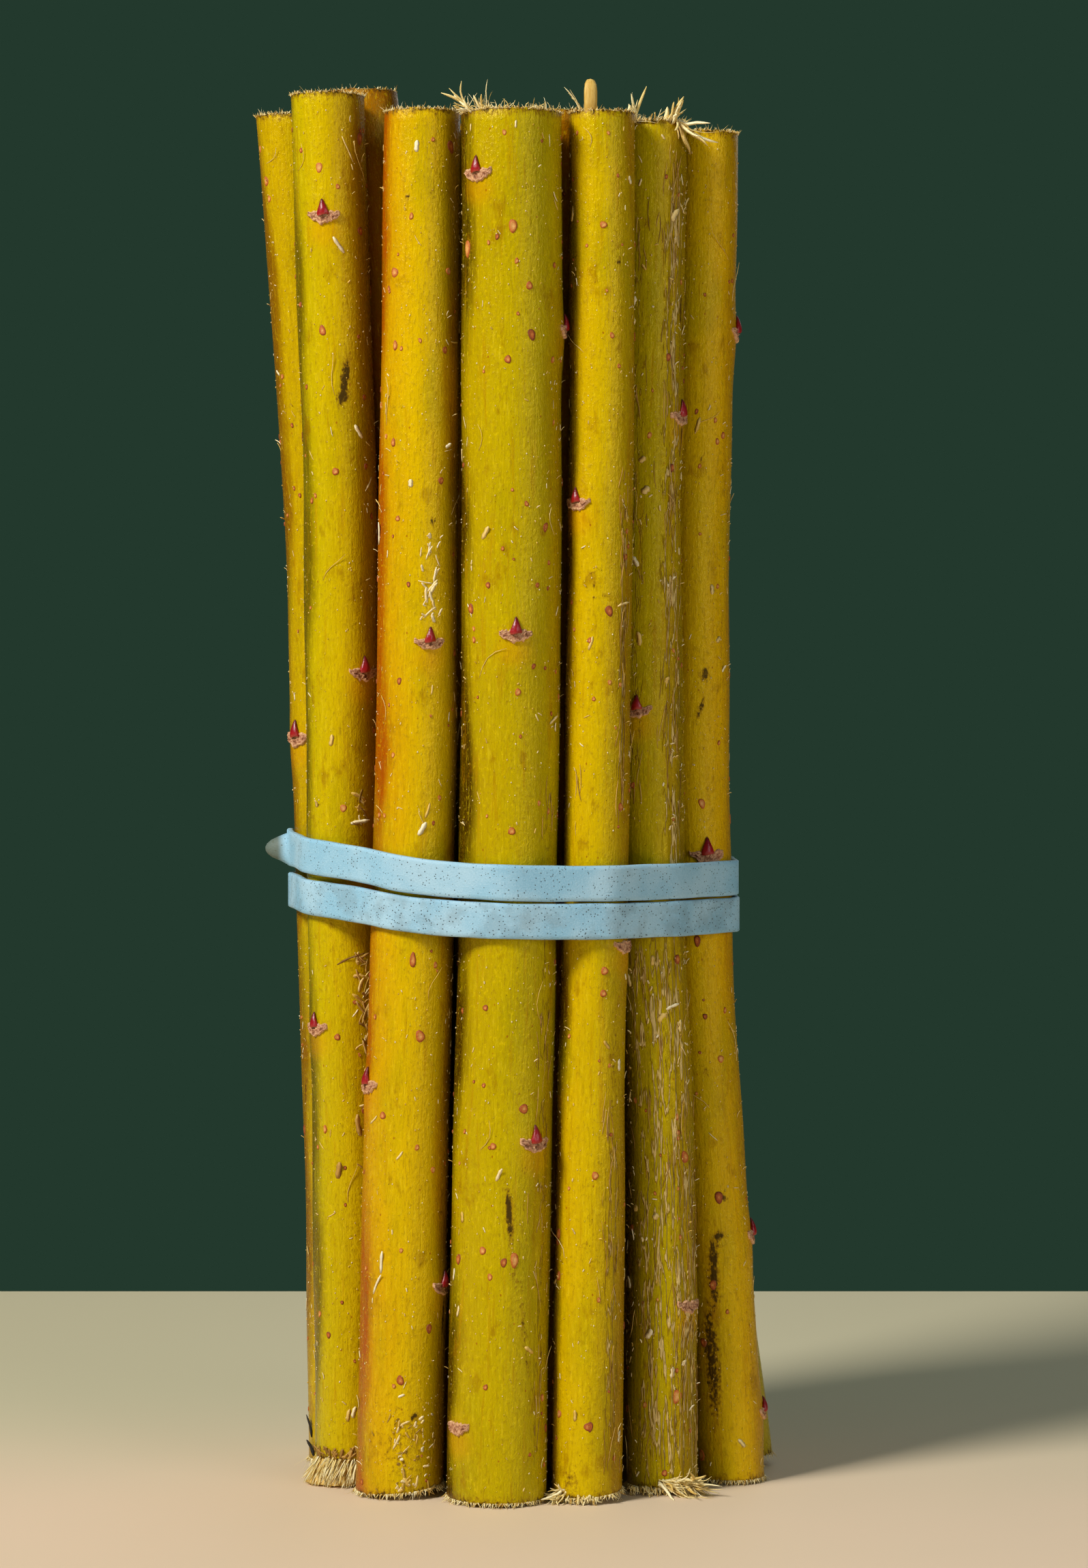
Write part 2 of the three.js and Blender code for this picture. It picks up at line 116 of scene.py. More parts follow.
# Each twig that is placed one by one. Buds and scars are [height, turn from the front]. A stain is
# [height, turn, half length, half width, lean in degrees, strength]. A cracked stretch is
# [lowest, highest, middle turn, half its spread in degrees, strength]. A slant lifts one side
# of the foot, in millimetres for each millimetre to the right and to the back.
FRONT_TWIGS = [
    dict(
        name="twig_01_left_edge", look="amber", foot=1.4, top=212,
        x=[-26.9, -27.4, -28.7, -30.5, -34.4], y=[-2, -3, -3.8, -4.2, -4.8],
        wide=[11.2] * 5, buds=[[115.4, -51]],
        stains_and_shade=[[60, -60, 2.5, 0.5, 5, 0.8], [150, -48, 1.6, 0.4, 0, 0.6]],
    ),
    dict(
        name="twig_02_torn_foot", look="olive", foot=5.3, top=213.7, overhang=-1.0,
        x=[-25.2, -25.4, -26.2, -26.8, -28.4], y=[-13.7, -14.6, -15.3, -15.6, -17],
        wide=[11.4, 11.4, 11.3, 11.3, 11.3], buds=[[195, -9], [125.5, 37], [71, -50]],
        stains_and_shade=[[170.3, 16, 3.8, 0.75, 12, 1.0], [167.6, 12, 1.8, 0.95, 20, 1.0]],
    ),
    dict(
        name="twig_03_in_shadow", look="russet", detail="gap", foot=0.6, top=215.6,
        x=[-13, -14, -15, -16, -22.3], y=[-11, -11.6, -12, -10.6, -7.7],
        wide=[11.4, 11.3, 11.1, 10.5, 9.8], buds=[[60, 150]],
    ),
    dict(
        name="twig_04_golden", look="golden", foot=0, top=210.2, slant=(0.085, 0.03),
        x=[-17.5, -16.6, -15.3, -14.4, -13.9], y=[-24, -24.6, -25, -24.7, -24.5],
        wide=[13.3, 13, 12.6, 12.1, 11.6], buds=[[130, 18], [63, -66], [32.3, 64]],
        stains_and_shade=[
            [27.5, 66, 4.5, 0.5, 0, 0.9], [44, 60, 5, 0.8, 4, 0.5], [12.6, 20, 1.0, 0.7, 35, 1.0],
            [11.4, -2, 0.9, 0.5, -30, 0.9], [148, 22, 0.8, 0.6, 0, 1.0], [140, 40, 2.0, 0.5, 10, 0.5],
            [14.2, -3, 0.6, 0.4, 0, 0.9], [18.4, 2, 0.5, 0.4, 0, 0.8], [124, 20, 3.2, 0.35, 0, 0.62],
            [8, 5, 6, 5, 0, 0.42],
        ],
    ),
    dict(
        name="twig_05_thick_front", look="green", foot=0, top=209.4, slant=(-0.02, 0.02),
        x=[-2.6, -1.9, -0.9, -0.3, -0.3], y=[-29.4, -28.2, -27.4, -28.4, -29.4],
        wide=[15.1, 15.1, 14.9, 15.1, 15.1],
        buds=[[200, -40], [131.2, 6], [54.8, 40], [177, 90]], scars=[[12, -50]],
        stains_and_shade=[
            [44, 10, 5.2, 0.6, -5, 1.0], [35, 17, 4.5, 0.6, -8, 0.45],
            [27.5, 30, 7.0, 0.6, -6, 0.6], [21, 36, 2.6, 0.5, -5, 0.6],
        ],
        cracked=[[0, 110, 52, 11, 0.5]],
    ),
    dict(
        name="twig_06_behind_gap", look="russet", detail="gap", foot=0.9, top=211.3,
        x=[7.5, 6.3, 5.5, 5.8, 6.5], y=[-17, -16, -15, -15.8, -17],
        wide=[10.6, 10.4, 10.2, 10, 10], buds=[[150, 170]],
    ),
    dict(
        name="twig_07_streaked", look="streaked", foot=0, top=209.8, slant=(0.075, 0.05),
        x=[11.2, 11.5, 12.3, 13.2, 13.4], y=[-28.7, -27.8, -27, -27.1, -26.6],
        wide=[10.7, 10.6, 9.9, 9.8, 9.9], buds=[[151, -44]], scars=[[84.3, 60]],
        stains_and_shade=[
            [187, 30, 0.8, 0.5, 0, 0.9], [140, -15, 0.9, 0.8, 0, 0.6], [137, 8, 0.8, 0.5, 0, 0.7],
            [3.5, -30, 2.0, 1.6, 10, 0.6], [66, 40, 9, 0.8, 0, 0.5],
        ],
        cracked=[[100, 155, 46, 12, 0.9], [96, 112, -38, 9, 0.8], [4, 62, 40, 16, 0.75]],
    ),
    dict(
        name="twig_08_fissured", look="fissured", foot=0.7, top=209.2, litter=2.6, flake=1.6,
        x=[22.8, 22.5, 21.1, 20.5, 21.2], y=[-20.5, -20.2, -20, -19.6, -19.4],
        wide=[10.9, 10.6, 10.4, 10.4, 10.4], buds=[[164.5, 65], [119.8, -20]], scars=[[29, 48]],
        stains_and_shade=[
            [180.6, 62, 3.0, 0.45, 0, 1.0], [22.3, -8, 0.35, 1.1, 0, 0.9], [150, 62, 5, 0.5, 3, 0.6],
        ],
        cracked=[
            [78, 207, 42, 22, 1.0], [-5, 92, 8, 58, 1.0], [100, 200, -30, 26, 0.55],
            [-5, 60, 50, 30, 1.0],
        ],
    ),
    dict(
        name="twig_09_right_edge", look="dull_amber", foot=0, top=208.5,
        x=[33.7, 30.8, 28.4, 28.2, 29.5], y=[-12.6, -11.4, -10.8, -11.2, -12],
        wide=[10.6, 10.6, 10.6, 10.5, 10.4],
        buds=[[178, 90], [97.4, 15], [38.2, 90], [10.8, 90]],
        stains_and_shade=[
            [125, 14, 1.4, 0.9, 0, 0.9], [120, 8, 2.2, 0.5, 15, 0.8], [44.3, 16, 0.9, 0.6, 0, 1.0],
            # The long marks at heights 33 and 19 are partly painted shadow of twig 8 down this twig's
            # left side, partly real stain
            [33, -8, 7, 0.9, 2, 0.95], [19, -22, 11, 1.5, 0, 0.85], [38.5, 5, 1.0, 0.8, 20, 1.0],
            [64, 0, 1.2, 0.6, 0, 0.7],
        ],
    ),
    dict(
        name="twig_10_behind_thick", look="olive", detail="gap", foot=1, top=208,
        x=[-3, -3.7, -4.4, -5.2, -6.3], y=[-15.5, -14.8, -14.3, -14.8, -15.5],
        wide=[9.2, 8.9, 8.7, 8.7, 8.6],
    ),
]

# The rows of twigs that the front hides, laid round the bundle's middle
BACK_ROW = dict(label="back", detail="back", count=8, first=3, last=160, ring=28.5, wide=10.7)
INNER_RING = dict(label="inner", detail="inner", count=6, first=-29, last=171, ring=17, wide=11)
CORE = dict(label="core", detail="inner", count=3, first=90, last=330, ring=6.2, wide=9.7)
MIDDLE_TOP = 209.5
TOP_SPREAD = 2.6
FOOT_STEPS = [0, 0.8, 0, 1.5]
HIDDEN_LOOKS = ["golden", "olive", "amber", "green"]


def along(values, z):
    """A smooth curve through values at the stations, straight on beyond the ends."""
    z = np.asarray(z, float)
    stations = np.asarray(STATIONS, float)
    values = np.asarray(values, float)
    slopes = np.empty(len(values))
    slopes[1:-1] = (values[2:] - values[:-2]) / (stations[2:] - stations[:-2])
    slopes[0] = (values[1] - values[0]) / (stations[1] - stations[0])
    slopes[-1] = (values[-1] - values[-2]) / (stations[-1] - stations[-2])
    k = np.clip(np.searchsorted(stations, z) - 1, 0, len(stations) - 2)
    h = stations[k + 1] - stations[k]
    t = np.clip((z - stations[k]) / h, 0, 1)
    rise = 3 * t**2 - 2 * t**3
    inside = (
        values[k] * (1 - rise)
        + values[k + 1] * rise
        + slopes[k] * h * t * (1 - t) ** 2
        - slopes[k + 1] * h * t**2 * (1 - t)
    )
    below = slopes[0] * np.minimum(z - stations[0], 0)
    above = slopes[-1] * np.maximum(z - stations[-1], 0)
    return inside + below + above


def smooth(low, high, value):
    """0 up to low, 1 from high on, and a smooth rise between; high may be the lower one."""
    t = np.clip((np.asarray(value, float) - low) / (high - low), 0, 1)
    return t * t * (3 - 2 * t)


def turn_from(other, turn):
    """How far round one turn is from another, from -180 to 180 degrees."""
    return (turn - other + 180) % 360 - 180


def ways(turn):
    """The way out of the bark at a turn from the front, and the way to the right of it."""
    a = math.radians(turn)
    return np.array([math.sin(a), -math.cos(a), 0]), np.array([math.cos(a), math.sin(a), 0])


def row_of_twigs(row, first_number):
    twigs = []
    for i in range(row["count"]):
        number = first_number + i
        angle = math.radians(row["first"] + (row["last"] - row["first"]) * i / (row["count"] - 1))
        turn = 90 + math.degrees(angle)
        wobble = math.sin(2.4 * number)
        buds = [[150 + 42 * wobble, turn + 14 * wobble]] if row is BACK_ROW else []
        twigs.append(
            dict(
                name=f"twig_{number}_{row['label']}",
                foot=FOOT_STEPS[number % len(FOOT_STEPS)],
                top=MIDDLE_TOP - TOP_SPREAD * wobble,
                x=[m + row["ring"] * s * math.cos(angle) for m, s in zip(MIDDLE_X, SPLAY)],
                y=[row["ring"] * s * math.sin(angle) for s in SPLAY],
                wide=[row["wide"] * taper for taper in TAPER],
                buds=buds,
                look=HIDDEN_LOOKS[number % len(HIDDEN_LOOKS)],
                facing=turn,
                detail=row["detail"],
            )
        )
    return twigs


class Pile:
    """Points and faces gathered for one piece, with what its materials read at each point."""

    def __init__(self):
        self.points, self.straight, self.marks, self.tone = [], [], [], []
        self.faces = {corners: [np.zeros((0, corners), int)] for corners in (4, 3)}
        self.finish = {corners: [np.zeros(0, int)] for corners in (4, 3)}
        self.count = 0

    def add(self, points, faces, finish, straight=None, marks=None, tone=0.5):
        points = np.asarray(points, float).reshape(-1, 3)
        n = len(points)
        self.points.append(points)
        self.straight.append(points if straight is None else straight)
        self.marks.append(np.zeros((n, 3)) if marks is None else marks)
        self.tone.append(np.broadcast_to(np.asarray(tone, float), (n,)))
        self.count += n
        self.add_faces(faces, finish, n)

    def add_faces(self, faces, finish, back):
        """More faces on the last points added; back is how many points there were."""
        faces = np.asarray(faces, int) + self.count - back
        self.faces[faces.shape[1]].append(faces)
        self.finish[faces.shape[1]].append(np.broadcast_to(finish, (len(faces),)))

    def piece(self, name, finishes):
        """Makes the Blender object, in metres, with one material slot for each finish."""
        quads, triangles = (np.concatenate(self.faces[corners]) for corners in (4, 3))
        corners = np.concatenate([quads.ravel(), triangles.ravel()])
        sizes = np.repeat([4, 3], [len(quads), len(triangles)])
        mesh = bpy.data.meshes.new(name)
        mesh.vertices.add(self.count)
        mesh.vertices.foreach_set("co", (np.concatenate(self.points) * MM).ravel())
        mesh.loops.add(len(corners))
        mesh.loops.foreach_set("vertex_index", corners)
        mesh.polygons.add(len(sizes))
        mesh.polygons.foreach_set("loop_start", np.cumsum(sizes) - sizes)
        finish = np.concatenate(self.finish[4] + self.finish[3])
        mesh.polygons.foreach_set("material_index", finish)
        mesh.polygons.foreach_set("use_smooth", np.ones(len(sizes), bool))
        for label, values in (("straight", self.straight), ("marks", self.marks)):
            stored = mesh.attributes.new(label, "FLOAT_VECTOR", "POINT")
            stored.data.foreach_set("vector", np.concatenate(values).ravel())
        stored = mesh.attributes.new("tone", "FLOAT", "POINT")
        stored.data.foreach_set("value", np.concatenate(self.tone))
        mesh.update(calc_edges=True)
        mesh.validate()
        for material in finishes:
            mesh.materials.append(material)
        made = bpy.data.objects.new(name, mesh)
        bpy.context.scene.collection.objects.link(made)
        return made


def grid_faces(rows, columns, wrap=True):
    """Quads over a grid of points, row by row; wrapped grids close round the columns."""
    row = np.arange(rows - 1)[:, None]
    column = np.arange(columns if wrap else columns - 1)[None, :]
    right = (column + 1) % columns
    low, high = row * columns, (row + 1) * columns
    return np.stack([low + column, low + right, high + right, high + column], -1).reshape(-1, 4)


def fan(sides):
    """Triangles that close a ring of points, all from its first point."""
    k = np.arange(1, sides - 1)
    return np.stack([0 * k, k, k + 1], -1)


def both_ends(sides, n):
    """Triangles that close the first and the last ring of a tube of n points."""
    return np.concatenate([fan(sides)[:, [0, 2, 1]], fan(sides) + n - sides])


# Places on a twig's bark

BARK, SAWN, BUD, SCAR, CORK, SHAVING, FIBRE, SKIN, PEEL = range(9)


def radius_at(twig, z, turn):
    """The bark's radius: half the twig's width, slow lumps, and a swelling at each growth."""
    radius = along(twig["wide"], z) / 2
    a = np.radians(turn)
    for lobes, wave, size, shift in twig["lumps"]:
        radius = radius + size * np.sin(lobes * a + 2 * math.pi * z / wave + shift)
    for bud_z, bud_turn in twig["growths"]:
        side = np.radians(turn_from(bud_turn, turn)) * radius / SWELLING_ROUND
        up = (z - bud_z + SWELLING_BELOW) / SWELLING_ALONG
        radius = radius + SWELLING_HEIGHT * np.exp(-(side**2) - up**2)
    return radius


def bark_point(twig, z, turn, rise=0.0):
    """The point of the bark at a height and a turn from the front, moved out by rise."""
    a = np.radians(turn)
    out = radius_at(twig, z, turn) + rise
    x = along(twig["x"], z) + out * np.sin(a)
    y = along(twig["y"], z) - out * np.cos(a)
    return np.stack(np.broadcast_arrays(x, y, z), -1)


def local(twig, points):
    """Points told from the twig's own middle, so that a pattern runs along the twig."""
    z = points[:, 2]
    straight = points.copy()
    straight[:, 0] -= along(twig["x"], z)
    straight[:, 1] -= along(twig["y"], z)
    straight[:, 2] += PATTERN_SHIFT * twig["number"]
    return straight


def bark_marks(twig, z, turn):
    """Stain and painted shade, halo and split at points of the bark, and how far round each point is:
    0 at the left of the side that faces out, 1 at its right."""
    radius = along(twig["wide"], z) / 2

    def beside(other):
        return np.radians(turn_from(other, turn)) * radius

    stain_and_shade = np.zeros_like(z)
    for mark_z, mark_turn, half_long, half_wide, lean, strength in twig["stains_and_shade"]:
        side, up = beside(mark_turn), z - mark_z
        c, s = math.cos(math.radians(lean)), math.sin(math.radians(lean))
        across, length = side * c - up * s, side * s + up * c
        far = np.hypot(across / half_wide, length / half_long)
        stain_and_shade = np.maximum(stain_and_shade, strength * np.clip(1.45 - far, 0, 1))
    halo = np.zeros_like(z)
    for bud_z, bud_turn in twig["growths"]:
        side, up = beside(bud_turn), z - bud_z
        halo = np.maximum(halo, np.exp(-((side / 3.4) ** 2) - ((up + 2.6) / 3.0) ** 2))
        halo = np.maximum(halo, 0.55 * np.exp(-((side / 5.0) ** 2) - ((up + 0.5) / 4.0) ** 2))
    split = np.zeros_like(z)
    for low, high, middle_turn, spread, strength in twig["cracked"]:
        off = turn_from(middle_turn, turn)
        ends = smooth(low, low + 12, z) * (1 - smooth(high - 12, high, z))
        split = np.maximum(split, strength * ends * np.exp(-((off / spread) ** 4)))
    ends = 1.2 * np.exp(-(((z - twig["foot"] - twig["bark_rise"]) / 0.8) ** 2))
    ends = np.maximum(ends, 1.3 * np.exp(-(((z - twig["top"]) / 0.7) ** 2)))
    stain_and_shade = np.maximum(stain_and_shade, 0.62 * ends)
    side = 0.5 + 0.5 * np.sin(np.radians(turn - twig["facing"]))
    side = side + 0.05 * np.sin(z / 17 + twig["number"]) + 0.03 * np.sin(z / 6.3)
    return np.stack([stain_and_shade, halo, split], -1), np.clip(side, 0, 1)


def foot_lift(slant, dx, dy):
    """How far a slanting cut lifts the foot at a place beside the twig's middle."""
    return np.maximum(slant[0] * (dx + SLANT_START) + slant[1] * (dy + SLANT_START), 0)


def lay_bark(pile, twig, random):
    """The bark and both sawn ends, as one closed skin from the foot's middle to the top's."""
    step_round, step_along = twig["step"]
    girth = math.pi * max(twig["wide"])
    columns = max(24, int(girth / step_round))
    turns = np.arange(columns) * 360.0 / columns
    foot = twig["foot"] + twig["bark_rise"]
    top = twig["top"]
    rows = max(6, int((top - foot) / step_along))
    heights = np.linspace(foot, top, rows + 1)
    heights[1] = foot + 0.25
    heights[-2] = top - 0.25
    shares = np.ones(rows + 1)
    shares[[0, -1]] = 0.985
    inner = np.array([0.004, 0.1, 0.25, 0.42, 0.6, 0.76, 0.86, 0.93, 0.965])
    z = np.concatenate([np.full(len(inner), foot), heights, np.full(len(inner), top)])
    share = np.concatenate([inner, shares, inner[::-1]])
    is_end = np.concatenate([np.ones(len(inner)), np.zeros(rows + 1), np.ones(len(inner))])
    z_grid = np.repeat(z[:, None], columns, 1)
    turn_grid = np.repeat(turns[None, :], len(z), 0)
    share_grid = np.repeat(share[:, None], columns, 1)

    marks, side = bark_marks(twig, z_grid.ravel(), turn_grid.ravel())
    radius = radius_at(twig, z_grid, turn_grid)
    split = marks[:, 2].reshape(z_grid.shape) * (1 - is_end[:, None])
    radius = radius + 0.1 * split * random.normal(0, 1, (1, columns))
    out = radius * share_grid
    a = np.radians(turn_grid)
    dx, dy = out * np.sin(a), -out * np.cos(a)

    saw_top, saw_foot = random.uniform(0, math.pi, 2)
    tilt = random.uniform(-0.018, 0.018, 4)
    near_top = smooth(top - 4, top, z_grid)
    near_foot = 1 - smooth(foot, foot + 4, z_grid)
    saw = 0.05 * is_end[:, None] * (1 - share_grid**8)
    lift = near_top * (tilt[0] * dx + tilt[1] * dy)
    lift += near_top * saw * np.sin((dx * math.cos(saw_top) + dy * math.sin(saw_top)) * 7)
    slant = twig.get("slant", tilt[2:])
    lift += near_foot * foot_lift(slant, dx, dy)
    lift += near_foot * saw * np.sin((dx * math.cos(saw_foot) + dy * math.sin(saw_foot)) * 7)
    ragged = random.normal(0, 1, columns)
    ragged = 0.09 * (ragged + 0.5 * np.roll(ragged, 1) + 0.5 * np.roll(ragged, -1))
    at_rim = smooth(0.9, 1, share_grid)
    lift += at_rim * ragged[None, :] * (smooth(top - 0.3, top, z_grid) - near_foot**6)
    z_bent = np.maximum(z_grid + lift, 0.06)

    points = np.stack(
        [along(twig["x"], z_grid) + dx, along(twig["y"], z_grid) + dy, z_bent], -1
    ).reshape(-1, 3)
    tone = np.where(np.repeat(is_end[:, None], columns, 1).ravel() > 0.5, share_grid.ravel(), side)
    faces = grid_faces(len(z), columns)
    face_row = np.repeat(np.arange(len(z) - 1), columns)
    ends = len(inner)
    finish = np.where((face_row < ends) | (face_row >= len(z) - 1 - ends), SAWN, BARK)
    pile.add(points, faces, finish, local(twig, points), marks, tone)
    pile.add_faces(both_ends(columns, len(points)), SAWN, len(points))


# Small things on the bark

def strand(pile, line, half_wide, half_thick, side, finish, tone=0.5, sides=4):
    """A thin fibre, hair or shaving: a tapered bar along a line of points."""
    ahead = np.gradient(line, axis=0)
    ahead /= np.linalg.norm(ahead, axis=1, keepdims=True) + 1e-9
    side = side - ahead * (ahead @ side)[:, None]
    side /= np.linalg.norm(side, axis=1, keepdims=True) + 1e-9
    through = np.cross(ahead, side)
    a = 2 * math.pi * np.arange(sides) / sides
    points = (
        line[:, None, :]
        + side[:, None, :] * (half_wide[:, None] * np.cos(a))[:, :, None]
        + through[:, None, :] * (half_thick[:, None] * np.sin(a))[:, :, None]
    ).reshape(-1, 3)
    points[:, 2] = np.maximum(points[:, 2], TABLE_CLEARANCE)
    pile.add(points, grid_faces(len(line), sides), finish, tone=tone)
    pile.add_faces(both_ends(sides, len(points)), finish, len(points))


def on_bark_patch(pile, twig, z, turn, side, up, rise, faces, finish, tone):
    """Points laid on the bark by millimetres to the side and up from one place."""
    side, up, rise, tone = (np.ravel(values) for values in (side, up, rise, tone))
    radius = along(twig["wide"], z) / 2
    turns = turn + np.degrees(side / radius)
    points = bark_point(twig, z + up, turns, rise)
    pile.add(points, faces, finish, tone=tone)


def lenticel(pile, twig, z, turn, half_high, half_wide, rise, lean, shade):
    """A lenticel: a small corky breathing pore, dished in its middle, with a raised ring."""
    rings = np.array([0.02, 0.4, 0.75, 1.0, 1.12])
    heights = np.array([0.55, 0.7, 1.0, 0.35, -0.6]) * rise
    sides = 12
    a = 2 * math.pi * np.arange(sides) / sides
    c, s = math.cos(math.radians(lean)), math.sin(math.radians(lean))
    wobble = 1 + 0.08 * np.sin(3 * a + 7 * shade)
    across = np.outer(rings, np.cos(a) * wobble) * half_wide
    length = np.outer(rings, np.sin(a) * wobble) * half_high
    side = across * c + length * s
    up = length * c - across * s
    rises = np.repeat(heights, sides)
    faces = grid_faces(len(rings), sides)[:, ::-1]
    tone = np.repeat(np.clip(rings, 0, 1) * 0.6 + 0.4 * shade, sides)
    on_bark_patch(pile, twig, z, turn, side, up, rises, faces, CORK, tone)
    pile.add_faces(fan(sides), CORK, side.size)


def bud(pile, twig, z, turn, size, random):
    """A winter bud: one blunt red cone under a single scale, leaning on the bark."""
    sides, rings = 18, 12
    a = 2 * math.pi * np.arange(sides) / sides
    t = np.linspace(0, 1, rings)
    taper = np.interp(t, [0, 0.1, 0.3, 0.6, 0.85, 0.96, 1], [0.92, 1, 0.82, 0.5, 0.27, 0.16, 0.01])
    width = BUD_RADIUS * size * taper
    lean = random.uniform(-0.35, 0.35)
    side = np.outer(width, np.cos(a)) + (lean * t**2)[:, None]
    out = np.outer(width * 0.72, np.sin(a)) + 0.12 + (0.22 * np.sin(math.pi * t))[:, None]
    out += 0.05 * np.sin(5 * a)[None, :] * (1 - t)[:, None]
    up = (t * BUD_LENGTH * size)[:, None] + 0 * side
    up += 0.12 * (np.sin(2 * a) * (1 - t)[:, None])
    tone = np.repeat(t, sides)
    faces = grid_faces(rings, sides)[:, ::-1]
    on_bark_patch(pile, twig, z, turn, side, up, out, faces, BUD, tone)


def leaf_scar(pile, twig, z, turn, size, random):
    """A leaf scar: a boat-shaped corky cushion with a raised lip and three bundle dots."""
    columns, rows = 40, 14
    u = np.linspace(-1, 1, columns)[None, :]
    v = np.linspace(0, 1, rows)[:, None]
    edge = np.interp(u, np.linspace(-1, 1, 19), random.uniform(-1, 1, 19))
    low = -1.55 + 1.5 * np.abs(u) ** 2.0 + 0.28 * edge
    high = 0.6 - 0.1 * np.abs(u) + 0.25 * edge[:, ::-1]
    up = (low * (1 - v) + high * v) * size
    side = SCAR_HALF_WIDTH * size * (u + 0 * v)
    rim = np.minimum(np.minimum(v, 1 - v) * 4, (1 - np.abs(u)) * 7)
    lip = np.exp(-(((rim - 0.45) / 0.3) ** 2)) * (0.6 + 0.4 * (v < 0.5))
    rise = 0.24 * np.clip(rim * 2, 0, 1) + 0.16 * lip - 0.25 * (rim < 0.02)
    dots = np.zeros_like(rise)
    for place in (-0.58, 0.02, 0.6):
        far = np.hypot((u - place) * SCAR_HALF_WIDTH / 0.36, (v - 0.4) / 0.18)
        rise = rise + 0.12 * np.exp(-((far - 1) ** 2) * 5)
        dots = np.maximum(dots, np.exp(-(far**2) * 1.2))
    rise = rise + 0.08 * random.normal(0, 1, rise.shape) * (rim > 0.1)
    tone = 0.5 + 0.3 * lip - 0.45 * dots + 0.2 * random.normal(0, 1, rise.shape)
    faces = grid_faces(rows, columns, wrap=False)
    on_bark_patch(pile, twig, z, turn, side, up, rise, faces, SCAR, np.clip(tone, 0, 1))


def shaving(pile, twig, z, turn, length, half, lean, lift, tone, finish=SHAVING, bend=0.05):
    """A pale sliver of bark or wood that sticks to the bark, one end a little lifted."""
    t = np.linspace(-0.5, 0.5, 5)
    a = math.radians(lean)
    bow = bend * length * np.sin(3 * t + lean)
    side = t * length * math.sin(a) + bow * math.cos(a)
    up = t * length * math.cos(a) - bow * math.sin(a)
    radius = along(twig["wide"], z) / 2
    rise = 0.03 + lift * (t + 0.5) ** 2
    line = bark_point(twig, z + up, turn + np.degrees(side / radius), rise)
    across = ways(turn)[1] * math.cos(a) - np.array([0, 0, 1]) * math.sin(a)
    shape = np.array([0.5, 1, 0.8, 1, 0.4])
    strand(pile, line, shape * half, shape * 0.05 + 0.01, across, finish, tone)


def speck(pile, twig, z, turn, size, tone):
    """A grain of wood dust."""
    corners = np.array([[1, 0, 0], [0, 1, 0], [-1, 0, 0], [0, -1, 0], [0, 0, 1], [0, 0, -1]])
    middle = bark_point(twig, z, turn, 0.3 * size)
    faces = [[0, 1, 4], [1, 2, 4], [2, 3, 4], [3, 0, 4], [1, 0, 5], [2, 1, 5], [3, 2, 5], [0, 3, 5]]
    pile.add(middle + corners * size * [1, 1, 1.5], faces, SHAVING, tone=tone)


def fibre(pile, start, reach, half, bend, tone, finish=FIBRE, sides=3):
    """One torn wood fibre, from its root to its tip."""
    t = np.linspace(0, 1, 4)[:, None]
    line = start + reach * t + bend * t**2
    line[:, 2] = np.maximum(line[:, 2], 0.05)
    side = np.cross(reach, [0.3, 0.2, 1.0])
    taper = np.array([1, 0.9, 0.6, 0.12])
    strand(pile, line, half * taper, half * 0.55 * taper, side, finish, tone, sides)


def fringe(pile, twig, at_top, count, reach, random):
    """The short dense fuzz that a saw leaves round a cut edge, with a few longer hairs."""
    slant = (0, 0) if at_top else twig.get("slant", (0, 0))
    root = twig["top"] - 0.2 if at_top else twig["foot"] + twig["bark_rise"] + 0.3
    root_rise = (-0.4, 0.05) if at_top else (-0.12, 0.12)
    radius = along(twig["wide"], root) / 2
    for number in range(count):
        turn = random.uniform(0, 360)
        is_long = number % 9 == 0
        length = reach * (random.uniform(0.8, 1.9) if is_long else random.uniform(0.3, 1.0))
        out, right = ways(turn)
        start = bark_point(twig, root, turn, random.uniform(*root_rise))
        start[2] += foot_lift(slant, radius * out[0], radius * out[1])
        aim = out * random.normal(0.25, 0.4) + right * random.normal(0, 0.7)
        aim[2] = 1 if at_top else -1
        aim *= length / np.linalg.norm(aim)
        bend = out * random.normal(0.05, 0.25) * length
        half = random.uniform(0.03, 0.07) if is_long else random.uniform(0.06, 0.16)
        fibre(pile, start, aim, half, bend, random.uniform(0, 1) ** (0.9 if at_top else 0.5))


def tuft(pile, root, spread, aim, wander, count, lengths, halves, random):
    """A brush of fibres and flat ribbons torn loose at a cut, each bent its own way."""
    aim = np.array(aim) / np.linalg.norm(aim)
    t = np.linspace(0, 1, 8)
    for number in range(count):
        start = np.array(root) + random.uniform(-1, 1, 3) * spread
        way = aim + random.normal(0, wander, 3)
        way /= np.linalg.norm(way)
        length = random.uniform(*lengths)
        half = random.uniform(*halves)
        bend = random.normal(0, 0.25, 3) * length
        sway = random.normal(0, 0.05, 3) * length
        waves = np.sin(2 * math.pi * (random.uniform(0.7, 1.4) * t + random.uniform(0, 1)))
        line = start + np.outer(t, way * length) + np.outer(t**2, bend) + np.outer(t * waves, sway)
        line[:, 2] = np.maximum(line[:, 2], 0.06)
        shape = np.interp(t, [0, 0.2, 0.7, 0.9, 1], [0.9, 1, 0.8, 0.6, 0.15])
        side = random.normal(0, 1, 3)
        flat = 0.3 if number % 2 else 0.7
        strand(pile, line, half * shape, flat * half * shape, side, FIBRE, random.uniform(0.35, 1))


def clear_of_band(z):
    return not BAND_COVERS[0] <= z <= BAND_COVERS[1]


